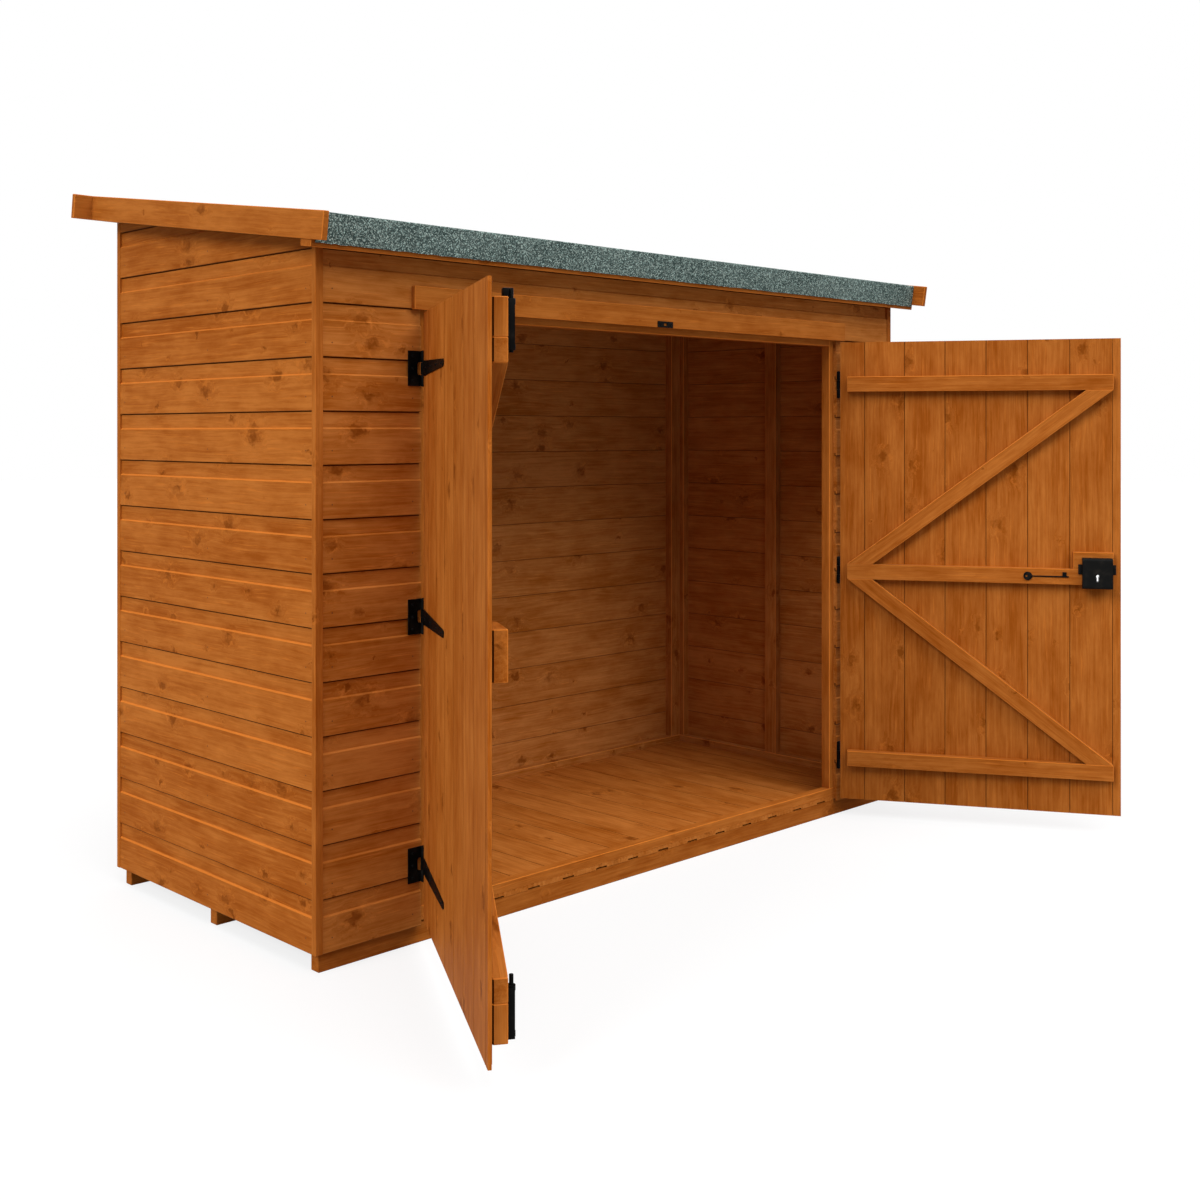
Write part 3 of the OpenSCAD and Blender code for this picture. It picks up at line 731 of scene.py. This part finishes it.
# Figure, knottiness and tint of each stained timber. The tints make lighter and darker copies of one stain
# that stand in for light and shade: lighter on the front walls, the inner timber and the floor, darker on
# the right door
STAINS = {
    "cladding": (0.6, 0.95, (0.97, 0.97, 0.97)),
    "front": (0.6, 0.95, (1.05, 1.18, 1.50)),
    "inner": (0.6, 0.5, (1.12, 1.36, 2.10)),
    "frame": (0.4, 0.35, (1.0, 1.0, 1.0)),
    "floor": (0.8, 0.3, (1.10, 1.18, 1.40)),
    "left_door": (0.5, 0.6, (0.98, 0.98, 0.98)),
    "right_door": (0.5, 0.6, (0.89, 0.89, 0.89)),
    "trim": (0.35, 0.35, (0.92, 0.92, 0.92)),
}
FINISHES = {}


class SHED_OT_finishes(Operator):
    """Makes the materials that the pieces share"""

    bl_idname = "shed.finishes"
    bl_label = "Finishes"

    def execute(self, context):
        colours = context.scene.shed_finish
        timber = timber_group()
        paint = scuff_group()
        for name, values in STAINS.items():
            FINISHES[name] = timber_material(name + "_stain", timber, *values)
        FINISHES.update(
            felt=felt_material(colours),
            iron=paint_material("black_iron", paint, colours.iron, 0.42),
            lock=paint_material("lock_paint", paint, colours.lock, 0.36),
            nail=paint_material("stained_nails", paint, colours.nail, 0.5, 0.3),
        )
        return {"FINISHED"}


# Shed pieces

def lap_section(timber, thickness):
    """Section of a lapped board as (depth, height) points, with its foot at zero height."""
    step = timber.board_step
    hollow = timber.recess_depth
    nose = timber.lap_nose
    tongue = hollow + timber.lap_gap_depth
    crest = step + timber.tongue
    socket = timber.tongue + timber.lap_room
    lip = hollow + timber.lap_room
    return [
        (nose, 0), (0, nose), (0, step - timber.recess_height - timber.shoulder),
        (hollow, step - timber.recess_height), (hollow, step - timber.lap_gap),
        (tongue, step - timber.lap_gap), (tongue, crest), (thickness - nose, crest),
        (thickness, crest - nose), (thickness, socket + nose), (thickness - nose, socket),
        (lip, socket), (lip, 0),
    ]


def mark_lap(board, timber, thin):
    """Marks a lapped board's shoulder with a painted highlight and its gap, lip and joints with painted
    shade, and gives its inner face the second finish.
    """
    tilted, square = 0.2, 0.9
    behind = timber.recess_depth + timber.lap_gap_depth / 2
    # Painted highlight on the shoulder; painted shade under the lip, on the inner chamfers, at the back of
    # the gap and on the level faces
    shade(board, lambda f: f.normal.y < -tilted and f.normal.z > tilted, thin)
    shade(board, lambda f: f.normal.y < -tilted and f.normal.z < -tilted, LAP_NOSE_SHADE)
    shade(board, lambda f: f.normal.y > tilted and abs(f.normal.z) > tilted, INNER_SEAM_SHADE)
    shade(board, lambda f: f.normal.y < -square and f.calc_center_median().y > behind, LAP_GAP_SHADE)
    shade(board, lambda f: abs(f.normal.z) > square, LAP_GAP_SHADE)
    for face in board.faces:
        face.material_index = int(face.normal.y > 0.5)


class SHED_OT_cladding(Operator):
    """Clads the walls with lapped boards, cut to the roof's slope, and nails them"""

    bl_idname = "shed.cladding"
    bl_label = "Wall boards"

    def execute(self, context):
        self.timber = context.scene.shed_timber
        self.nails = blank()
        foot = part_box("front_left_wall")[0].z
        over_door = round((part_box("front_header_wall")[0].z - foot) / self.timber.board_step)
        top = math.ceil((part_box("rear_wall")[1].z - foot) / self.timber.board_step)
        walls = {
            "left_wall": (3, range(top)), "right_wall": (1, range(top)), "rear_wall": (2, range(top)),
            "front_left_wall": (0, range(over_door)), "front_right_wall": (0, range(over_door)),
            "front_header_wall": (0, range(over_door, top)),
        }
        for node, (quarters, courses) in walls.items():
            low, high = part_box(node)
            if node == "front_header_wall":
                low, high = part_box("front_left_wall")[0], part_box("front_right_wall")[1]
            corner = (low.x if quarters in (0, 3) else high.x, low.y if quarters < 2 else high.y, foot)
            run = high.y - low.y if quarters % 2 else high.x - low.x
            place = Matrix.Translation(corner) @ Matrix.Rotation(quarters * QUARTER, 4, "Z")
            self.clad(node, place, run, courses)
        hand_over(self.nails, "cladding_nails", "cladding_timber", None, "nail")
        return {"FINISHED"}

    def clad(self, node, place, run, courses):
        """Builds one wall's boards, and nails them near their ends and at the middle of a long wall."""
        timber = self.timber
        short_wall, nail_head = 0.5, 0.35 * MM
        slope = roof_place()
        low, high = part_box("front_left_wall")
        front = node.startswith("front")
        rows = [timber.nail_inset, run / 2, run - timber.nail_inset]
        if run < short_wall:
            rows.pop(1)
        wall = blank()
        for course in courses:
            level = course * timber.board_step
            board = prism(lap_section(timber, high.y - low.y), run)
            mark_lap(board, timber, timber.front_shoulder_highlight if front else timber.side_shoulder_highlight)
            board.transform(place @ Matrix.Translation((0, 0, level)))
            cut(board, slope.translation, slope.to_3x3() @ Z)
            join(wall, board)
            for row in rows:
                point = place @ Vector((row, 0, level + timber.nail_height))
                if (slope.inverted() @ point).z < -timber.nail_height:
                    facing = place.to_3x3() @ -Y
                    add_head(self.nails, point, facing, timber.nail_radius, height=nail_head)
        # The front walls take a lighter copy of the stain that stands in for the light on them
        outer = "front" if front else "cladding"
        fit_timber(wall, node + "_boards", "cladding_timber", node, outer, "inner")


class SHED_OT_framing(Operator):
    """Dresses the wall framing, the doorway, the corner strips and the strip over the doors"""

    bl_idname = "shed.framing"
    bl_label = "Framing"

    def execute(self, context):
        for node in ("side_wall_rails", "side_wall_uprights", "rear_wall_rails", "rear_wall_uprights"):
            dress_timber(node, "inner", "frame_timber")
        for node in ("front_top_rail", "front_posts", "door_jambs", "door_head_rail", "door_sill"):
            dress_timber(node, "frame", "frame_timber")
        dress_timber("corner_strips", "trim", "frame_timber", CORNER_EDGE)
        dress_timber("door_head_strip", "trim", "frame_timber")
        return {"FINISHED"}


class SHED_OT_floor(Operator):
    """Lays the floor boards on their joists, with open slots at the joints' ends"""

    bl_idname = "shed.floor"
    bl_label = "Floor"

    def execute(self, context):
        timber = context.scene.shed_timber
        low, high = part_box("floor_deck")
        first = math.floor((low.x - timber.floor_start) / timber.floor_pitch)
        joints = [timber.floor_start + timber.floor_pitch * k for k in range(first + 1, -first)]
        edges = [low.x] + [x for x in joints if low.x < x < high.x] + [high.x]
        tilted, square = 0.3, 0.9
        deck = blank()
        for start, end in zip(edges, edges[1:]):
            ends = (start > low.x, end < high.x)
            board = prism(self.section(timber, end - start, high.z - low.z, ends), high.y - low.y)
            # Painted shade on the boards' sides, edge slopes and the hollows under the joints
            shade(board, lambda f: abs(f.normal.y) > tilted and f.normal.z < square, JOINT_SHADE)
            shade(board, lambda f: f.normal.z < -tilted, JOINT_SHADE)
            place = Matrix.Translation((end, low.y, low.z)) @ Matrix.Rotation(QUARTER, 4, "Z")
            join(deck, board, place)
        fit_timber(deck, "floor_boards", "floor_timber", "floor_deck", "floor")
        dress_timber("floor_joists", "trim", "floor_timber", JOIST_EDGE, "floor_joist_timber")
        return {"FINISHED"}

    def section(self, timber, width, thickness, ends):
        """Section of a floor board as (across, height) points, hollowed below at its joints."""
        nose = timber.floor_nose
        gap = timber.lap_room
        half = timber.floor_slot / 2
        rise = timber.floor_slot_height
        left = [(width - half, 0), (width - half, rise), (width, rise)] if ends[0] else [(width, 0)]
        right = [(gap, rise), (half, rise), (half, 0)] if ends[1] else [(gap, 0)]
        return [
            *right, *left, (width, thickness - nose), (width - nose, thickness),
            (gap + nose, thickness), (gap, thickness - nose),
        ]


class SHED_OT_roof(Operator):
    """Builds the roof: boards, rails, barge boards, fascia and the strip under the eaves"""

    bl_idname = "shed.roof"
    bl_label = "Roof timber"

    def execute(self, context):
        timber = context.scene.shed_timber
        place = roof_place()
        low, high = local_box("roof_deck", place)
        count = round((high.y - low.y) / timber.roof_board)
        width = (high.y - low.y) / count
        gap = timber.lap_room / 2
        boards = blank()
        for k in range(count):
            start = Vector((low.x, low.y + k * width + gap, low.z))
            end = Vector((high.x, low.y + (k + 1) * width - gap, high.z))
            # The roof boards' eased edges carry painted shade in the joints
            join(boards, eased_box(start, end, timber.lap_nose, LAP_GAP_SHADE), place)
        fit_timber(boards, "roof_boards", "roof_timber", "roof_deck", "inner")
        for node in ("roof_rails", "roof_end_rails"):
            dress_timber(node, "inner", "roof_timber")
        for node in ("left_barge_board", "right_barge_board", "rear_fascia", "eaves_strip"):
            dress_timber(node, "trim", "roof_timber")
        return {"FINISHED"}


class SHED_OT_felt(Operator):
    """Covers the roof with felt, folded over the front and nailed with clouts"""

    bl_idname = "shed.felt"
    bl_label = "Felt"

    def execute(self, context):
        roof = context.scene.shed_roof
        place = roof_place()
        low, high = local_box("roof_felt", place)
        board_low, board_high = local_box("roof_deck", place)
        cuts, bend_steps, bend_share = 180, 4, 1.2
        thick = high.z - board_high.z
        fold = thick * bend_share
        lap = (low.y + high.y) / 2
        top = high.z + roof.lap_rise
        arc = [math.pi - k * QUARTER / bend_steps for k in range(bend_steps + 1)]
        bend = [(low.y + fold + fold * math.cos(a), high.z - fold + fold * math.sin(a)) for a in arc]
        outline = [
            (board_low.y, low.z), (low.y, low.z), *bend, (lap, high.z), (lap + thick, top),
            (high.y, top), (high.y, board_high.z), (board_low.y, board_high.z),
        ]
        felt = prism(outline, high.x - low.x)
        bmesh.ops.translate(felt, vec=(low.x, 0, 0), verts=felt.verts)
        runs = [e for e in felt.edges if e.calc_length() > 1.0]
        bmesh.ops.subdivide_edges(felt, edges=runs, cuts=cuts, use_grid_fill=True)
        chance = random.Random("felt")
        hem = [v for v in felt.verts if v.co.z < low.z + 10 * NEAR and low.x < v.co.x < high.x]
        for vert in sorted(hem, key=lambda v: (round(v.co.y, 4), v.co.x)):
            vert.co.z += chance.uniform(0, 2 * roof.ragged)
        smooth(felt)
        self.clouts(felt, roof, low, high, lap)
        whole = bmesh.new()
        join(whole, felt, place)
        hand_over(whole, "roof_felt_sheet", "felt", "roof_felt", "felt")
        return {"FINISHED"}

    def clouts(self, felt, roof, low, high, lap):
        """Adds rows of clout nails along the felt's lap, rear edge and sides, in the roof's frame."""
        margin = roof.clout_margin
        along = self.row(roof, low.x, high.x - margin / 2)
        down = self.row(roof, low.y, high.y - 2 * margin)
        spots = [(x, y) for x in along for y in (lap + margin, high.y - margin)]
        spots += [(x, y) for y in down for x in (low.x + margin, high.x - margin)]
        for x, y in spots:
            level = high.z + roof.lap_rise if y > lap else high.z
            add_head(felt, Vector((x, y, level)), Z, roof.clout_radius, height=0.8 * MM)

    def row(self, roof, start, end):
        """Places of the clout nails between an edge and an end."""
        count = math.ceil((end - start) / roof.clout_pitch)
        places = [start + roof.clout_margin + k * roof.clout_pitch for k in range(count + 1)]
        return [place for place in places if place < end]


# Door pieces

def left_door_boxes():
    """Boxes of the left door's ledges and blocks. The middle block covers the end of its ledge."""
    ledges, blocks = (solids(node, hinge_place("left")) for node in ("left_door_ledges", "left_door_blocks"))
    blocks[1][0].z = ledges[1][0].z
    ledges[1][1].x = blocks[1][0].x
    return ledges, blocks


class SHED_OT_doors(Operator):
    """Builds both doors from upright boards, ledges, braces and blocks"""

    bl_idname = "shed.doors"
    bl_label = "Doors"

    def execute(self, context):
        self.timber = context.scene.shed_timber
        self.iron = context.scene.shed_iron
        low, high = local_box("lock_case", hinge_place("right"))
        bore_share = 0.65
        drop = self.iron.key_drop + self.iron.key_height * bore_share
        self.bored = ((low.x + high.x) / 2, (low.z + high.z) / 2 - drop)
        left_ledges, left_blocks = left_door_boxes()
        ledges = {"left": left_ledges, "right": solids("right_door_ledges", hinge_place("right"))}
        for side, boxes in ledges.items():
            self.leaf(side)
            self.bars(side, boxes, side + "_ledge_timber", side + "_door_ledges")
            dress_timber(side + "_door_braces", side + "_door", "door_timber", name=side + "_brace_timber")
        self.bars("left", left_blocks, "left_block_timber", "left_door_blocks")
        dress_timber("right_lock_block", "right_door", "door_timber", name="right_block_timber")
        return {"FINISHED"}

    def bores(self, side, start, end, bottom, top):
        """The hole behind the lock, where a piece of the right door takes it in."""
        x, z = self.bored
        inside = side == "right" and start < x < end and bottom < z < top
        return [ring(self.bored, self.iron.bore)] if inside else []

    def leaf(self, side):
        """Builds one door's boards, with tongues in their joints."""
        timber = self.timber
        node = side + "_door_boards"
        place = hinge_place(side)
        low, high = local_box(node, place)
        joints = [high.x - timber.door_edge_strip]
        while joints[0] - timber.door_board > low.x + timber.door_edge_strip:
            joints.insert(0, joints[0] - timber.door_board)
        edges = [low.x, *joints, high.x]
        gap = timber.lap_room / 2
        boards = blank()
        for start, end in zip(edges, edges[1:]):
            step = timber.door_edge_step if side == "left" and end == high.x else 0.0
            outline = rectangle(start + gap, low.z, end - gap, high.z)
            board = plate(outline, self.bores(side, start, end, low.z, high.z), low.y, high.y - step)
            for x, inner in ((start + gap, start > low.x), (end - gap, end < high.x)):
                rims = [e for e in sharp_edges(board, SQUARE) if e.calc_length() > 1.0]
                rims = [e for e in rims if all(abs(v.co.x - x) < NEAR for v in e.verts)]
                # Joint slopes and sides carry painted shade; the outer edges carry a little pale colour with
                # painted highlight
                if inner:
                    ease(board, rims, timber.door_joint, mark=DOOR_SEAM_SHADE)
                    shade(board, lambda f: abs(f.calc_center_median().x - x) < NEAR, JOINT_SHADE)
                else:
                    ease(board, rims, timber.door_nose, mark=DOOR_EDGE)
            join(boards, board, place)
        half_wide, half_thick, short = 5 * MM, 1.5 * MM, 1 * MM
        reach = Vector((half_wide, half_thick, -short))
        middle = (low.y + high.y) / 2
        for joint in reversed(joints):
            foot, head = Vector((joint, middle, low.z)), Vector((joint, middle, high.z))
            tongue = eased_box(foot - reach, head + reach, 0.3 * MM)
            # The tongue carries painted shade all over
            shade(tongue, lambda f: True, JOINT_SHADE)
            join(boards, tongue, place)
        fit_timber(boards, side + "_door_leaf", "door_timber", node, side + "_door")

    def bars(self, side, boxes, name, node):
        """Builds one door's ledges or blocks. The ledge behind the lock is bored."""
        timber = self.timber
        bars = blank()
        for low, high in boxes:
            holes = self.bores(side, low.x, high.x, low.z, high.z)
            if holes:
                bar = plate(rectangle(low.x, low.z, high.x, high.z), holes, low.y, high.y)
                long_edges = [e for e in sharp_edges(bar, SQUARE) if e.calc_length() > 0.5]
                ease(bar, long_edges, timber.worn_edge)
            else:
                # The slit at a left ledge's end carries painted shade
                slit = timber.door_slit if side == "left" else 0.0
                bar = eased_box(low, high, timber.worn_edge, slit=slit)
            join(bars, bar, hinge_place(side))
        fit_timber(bars, name, "door_timber", node, side + "_door")


# Ironwork

def knuckle(start, end, radius):
    """A round length of barrel about the pin, between two heights."""
    barrel = blank()
    cone = bmesh.ops.create_cone(
        barrel, cap_ends=True, segments=24, radius1=radius, radius2=radius, depth=end - start
    )
    bmesh.ops.translate(barrel, vec=(0, 0, (start + end) / 2), verts=cone["verts"])
    ease(barrel, sharp_edges(barrel), 0.5 * MM)
    return barrel


class SHED_OT_hinges(Operator):
    """Builds the tee hinges: plates on the wall and straps on the doors, with their screws"""

    bl_idname = "shed.hinges"
    bl_label = "Hinges"

    def execute(self, context):
        iron = context.scene.shed_iron
        for side in ("left", "right"):
            self.plates(side, iron)
            self.straps(side, iron)
        return {"FINISHED"}

    def plates(self, side, iron):
        """Builds one door's three hinge plates with their knuckles and pins."""
        node = side + "_hinge_plates"
        place = hinge_place(side, shut=True)
        room, corner, slack, pin_end, screw_inset = 1 * MM, 3 * MM, 0.8 * MM, 1.2 * MM, 12 * MM
        pin, screw_line = 0.55, 0.68
        metal = blank()
        for low, high in solids(node, place):
            barrel = -low.y
            face = high.y - iron.hinge_iron
            third = (high.z - low.z) / 3
            lower, upper = low.z + third, high.z - third
            notch = -barrel - iron.plate_notch
            outline = [
                (low.x, low.z), (-room, low.z), (-room, lower - room), (notch + corner, lower - room),
                (notch, lower + corner), (notch, upper - corner), (notch + corner, upper + room),
                (-room, upper + room), (-room, high.z), (low.x, high.z),
            ]
            blade = plate(outline, [], face, high.y)
            ease(blade, sharp_edges(blade), 0.5 * MM, 1)
            join(metal, blade, place)
            join(metal, knuckle(low.z, lower - slack, barrel), place)
            join(metal, knuckle(upper + slack, high.z, barrel), place)
            join(metal, knuckle(low.z - pin_end, high.z + pin_end, barrel * pin), place)
            for z in (low.z + screw_inset, (low.z + high.z) / 2, high.z - screw_inset):
                add_head(metal, Vector((low.x * screw_line, face, z)), -Y, iron.screw_radius, place)
        fit_metal(metal, side + "_hinge_plate_iron", node)

    def straps(self, side, iron):
        """Builds one door's three straps from the frame's outline, with screws along them."""
        node = side + "_hinge_straps"
        place = hinge_place(side)
        face = 1 * MM - iron.hinge_iron
        metal = eased_copy(node, 0.4 * MM, math.radians(40), 1)
        for low, high in solids(node, place):
            for share in (0.14, 0.4, 0.68, 0.92):
                point = Vector((high.x * share, face, (low.z + high.z) / 2))
                add_head(metal, point, -Y, iron.screw_radius * (1.0 - 0.2 * share), place)
        fit_metal(metal, side + "_hinge_strap_iron", node)


class SHED_OT_bolts(Operator):
    """Builds the tower bolts, their plates and the keep over the doors"""

    bl_idname = "shed.bolts"
    bl_label = "Bolts"

    def execute(self, context):
        iron = context.scene.shed_iron
        place = hinge_place("left")
        plates = eased_copy("bolt_plates", 0.6 * MM, math.radians(40))
        edge, fold_short, side_inset, end_inset = 0.6 * MM, 4 * MM, 5 * MM, 18 * MM
        for low, high in solids("bolt_plates", place):
            fold_low = Vector((high.x - iron.bolt_iron, low.y + 0.5 * MM, low.z + 1 * MM))
            fold_high = Vector((high.x, high.y - fold_short, high.z - 1 * MM))
            join(plates, eased_box(fold_low, fold_high, edge), place)
            for x in (low.x + side_inset, high.x - side_inset):
                for z in (low.z + end_inset, high.z - end_inset):
                    point = Vector((x, low.y + iron.bolt_iron, z))
                    add_head(plates, point, Y, iron.screw_radius * 0.8, place)
        self.tab(plates, iron, place)
        fit_metal(plates, "bolt_plate_iron", "bolt_plates")
        for node in ("top_bolt", "bottom_bolt"):
            fit_metal(eased_copy(node, 0.8 * MM, math.radians(50)), node + "_iron", node)
        self.keep(iron)
        return {"FINISHED"}

    def tab(self, plates, iron, place):
        """Adds the tab that stands over the upper block, under the head of the doorway."""
        low, high = solids("bolt_plates", place)[-1]
        half, room, lead, overlap = 7.5 * MM, 5.2 * MM, 5 * MM, 4 * MM
        left, right = (low.x + high.x) / 2 - half, (low.x + high.x) / 2 + half
        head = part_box("door_head_rail")[0].z - room
        foot = local_box("left_door_blocks", place)[1].z + 1 * MM
        rod = local_box("top_bolt", place)[0].y - 0.8 * MM
        tab = eased_box(Vector((left, low.y - lead, foot)), Vector((right, rod, head)), 1.0 * MM)
        join(plates, tab, place)
        neck_low = Vector((left, low.y + 0.2 * MM, high.z - overlap))
        neck_high = Vector((right, low.y + iron.bolt_iron, foot + 3 * MM))
        join(plates, eased_box(neck_low, neck_high, 0.4 * MM), place)

    def keep(self, iron):
        """Builds the slotted keep plate over the doors."""
        low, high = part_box("bolt_keep")
        x, z = (low.x + high.x) / 2, (low.z + high.z) / 2
        half_wide, half_tall, screw_inset = 6 * MM, 3 * MM, 9 * MM
        slot = rectangle(x - half_wide, z - half_tall, x + half_wide, z + half_tall)
        metal = plate(rectangle(low.x, low.z, high.x, high.z), [slot], low.y, high.y)
        ease(metal, sharp_edges(metal, SQUARE), 0.5 * MM, 1)
        for end in (low.x + screw_inset, high.x - screw_inset):
            add_head(metal, Vector((end, low.y, z)), -Y, iron.screw_radius)
        fit_metal(metal, "bolt_keep_iron", "bolt_keep")


class SHED_OT_lock(Operator):
    """Builds the rim lock with its keyhole, and the key that hangs beside it"""

    bl_idname = "shed.lock"
    bl_label = "Lock and key"

    def execute(self, context):
        iron = context.scene.shed_iron
        place = hinge_place("right")
        low, high = local_box("lock_case", place)
        inset, overlap, ear_thick, below, above = 4 * MM, 2 * MM, 5 * MM, 4 * MM, 24 * MM
        level = (low.z + high.z) / 2
        left, right = low.x + inset, high.x - inset
        metal = blank()
        join(metal, self.case(iron, Vector((left, low.y, low.z)), Vector((right, high.y, high.z))), place)
        for start, end in ((left - iron.ear, left + overlap), (right - overlap, right + iron.ear)):
            ear_low = Vector((start, low.y, level - below))
            ear_high = Vector((end, low.y + ear_thick, level + above))
            join(metal, eased_box(ear_low, ear_high, 1.2 * MM), place)
        fit_metal(metal, "lock_case_metal", "lock_case", "lock_metal", "lock")
        fit_metal(eased_copy("lock_key", 0.3 * MM, math.radians(50)), "lock_key_metal", "lock_key")
        return {"FINISHED"}

    def case(self, iron, low, high):
        """Builds the case with rounded upper and lower edges and a keyhole through it."""
        middle = (low.x + high.x) / 2
        level = (low.z + high.z) / 2 - iron.key_drop
        strip = iron.case_edge + 2 * MM
        half = iron.key_slot / 2
        drop = math.asin(half / iron.key_round)
        steps = 16
        turns = [drop - QUARTER + k * 2 * (math.pi - drop) / steps for k in range(steps + 1)]
        arc = [(middle + iron.key_round * math.cos(t), level + iron.key_round * math.sin(t)) for t in turns]
        foot = level - iron.key_height
        keyhole = arc + [(middle - half, foot), (middle + half, foot)]
        field = rectangle(low.x, low.z + strip, high.x, high.z - strip)
        case = plate(field, [keyhole], low.y, high.y)
        for bottom, top, outer in ((low.z, low.z + strip, low.z), (high.z - strip, high.z, high.z)):
            rail = block(Vector((low.x, low.y, bottom)), Vector((high.x, high.y, top)))
            corner = Vector((0, high.y, outer))
            lip = [e for e in rail.edges if all((v.co - corner).yz.length < NEAR for v in e.verts)]
            ease(rail, lip, iron.case_edge, 6)
            join(case, rail)
        return case


# Stage

class SHED_OT_stage(Operator):
    """Sets the floor, the lights, the white surround and the camera"""

    bl_idname = "shed.stage"
    bl_label = "Stage"

    def execute(self, context):
        scene = context.scene
        stage = scene.shed_stage
        scene.view_settings.view_transform = "Standard"
        self.floor(scene, stage)
        self.surround(scene, stage)
        self.lamp(scene, "key_light", stage.key, (-0.85, -0.06, 0.52), 30)
        self.lamp(scene, "top_light", stage.top, (0.0, -0.56, 0.83), 62)
        self.lamp(scene, "back_light", stage.back, (0.70, 0.62, 0.35), 50)
        self.camera(scene, stage)
        return {"FINISHED"}

    def place(self, scene, name, data):
        """Adds an object to the scene."""
        thing = bpy.data.objects.new(name, data)
        scene.collection.objects.link(thing)
        return thing

    def floor(self, scene, stage):
        """Lays a plain pale floor that keeps the shed's shadow."""
        pale, glow_share = (0.95, 0.95, 0.95, 1), 0.78
        mesh = bmesh.new()
        bmesh.ops.create_grid(mesh, x_segments=1, y_segments=1, size=stage.floor_size / 2)
        data = bpy.data.meshes.new("stage_floor")
        mesh.to_mesh(data)
        mesh.free()
        finish, tree, surface = new_material("stage_white")
        surface["Roughness"].default_value = 0.9
        surface["Specular IOR Level"].default_value = 0.0
        seen = self.seen_direct(tree)
        tree.links.new(blend(tree, seen, opaque([stage.floor_bounce] * 3), pale), surface["Base Color"])
        glow = put(tree, "ShaderNodeEmission", {"Color": WHITE, "Strength": 1.0}).outputs[0]
        matt = tree.nodes["Principled BSDF"].outputs[0]
        share = calc(tree, "MULTIPLY", seen, glow_share)
        mixed = put(tree, "ShaderNodeMixShader", {0: share, 1: matt, 2: glow})
        tree.links.new(mixed.outputs[0], tree.nodes["Material Output"].inputs["Surface"])
        data.materials.append(finish)
        self.place(scene, "stage_floor", data)

    def seen_direct(self, tree):
        """One for rays from the camera, reflections and glass, and nought for light."""
        path = put(tree, "ShaderNodeLightPath").outputs
        shown = calc(tree, "MAXIMUM", path["Is Camera Ray"], path["Is Glossy Ray"])
        return calc(tree, "MAXIMUM", shown, path["Is Transmission Ray"])

    def surround(self, scene, stage):
        """A surround that looks white and lights softly."""
        scene.world = bpy.data.worlds.new("stage_surround")
        scene.world.use_nodes = True
        tree = scene.world.node_tree
        light = calc(tree, "MULTIPLY_ADD", self.seen_direct(tree), 1.0 - stage.ambient, stage.ambient)
        back = tree.nodes["Background"].inputs
        back["Color"].default_value = WHITE
        tree.links.new(light, back["Strength"])

    def lamp(self, scene, name, strength, towards, spread):
        """A wide, soft light that shines from a direction, with its spread in degrees."""
        data = bpy.data.lights.new(name, "SUN")
        data.energy = strength
        data.angle = math.radians(spread)
        lamp = self.place(scene, name, data)
        lamp.rotation_euler = Vector(towards).to_track_quat("Z", "Y").to_euler()

    def camera(self, scene, stage):
        """A level camera with the picture's own shift."""
        data = bpy.data.cameras.new("view_camera")
        data.sensor_width = 36.0
        for name in ("lens", "shift_x", "shift_y"):
            setattr(data, name, getattr(stage, name))
        scene.camera = self.place(scene, "view_camera", data)
        scene.camera.location = stage.place
        scene.camera.rotation_euler = (QUARTER, 0.0, -stage.heading)


PIECES = (
    SHED_OT_finishes, SHED_OT_cladding, SHED_OT_framing, SHED_OT_floor, SHED_OT_roof, SHED_OT_felt,
    SHED_OT_doors, SHED_OT_hinges, SHED_OT_bolts, SHED_OT_lock, SHED_OT_stage,
)


class SHED_PT_panel(Panel):
    """Lists the shed's settings and pieces"""

    bl_idname = "SHED_PT_panel"
    bl_label = "Bike Shed"
    bl_space_type = "VIEW_3D"
    bl_region_type = "UI"
    bl_category = "Shed"

    def draw(self, context):
        for attribute, group in SETTINGS.items():
            box = self.layout.box()
            box.label(text=group.__doc__)
            for name in group.__annotations__:
                box.prop(getattr(context.scene, attribute), name)
        for piece in PIECES:
            self.layout.operator(piece.bl_idname)


def register():
    """Adds the settings, operators and panel."""
    for attribute, group in SETTINGS.items():
        bpy.utils.register_class(group)
        setattr(bpy.types.Scene, attribute, PointerProperty(type=group))
    for item in (*PIECES, SHED_PT_panel):
        bpy.utils.register_class(item)


def unregister():
    """Takes the settings, operators and panel away."""
    for item in (SHED_PT_panel, *reversed(PIECES)):
        bpy.utils.unregister_class(item)
    for attribute, group in SETTINGS.items():
        delattr(bpy.types.Scene, attribute)
        bpy.utils.unregister_class(group)


def main():
    """Builds every piece in order."""
    register()
    for piece in PIECES:
        family, action = piece.bl_idname.split(".")
        getattr(getattr(bpy.ops, family), action)()


if __name__ == "__main__":
    main()
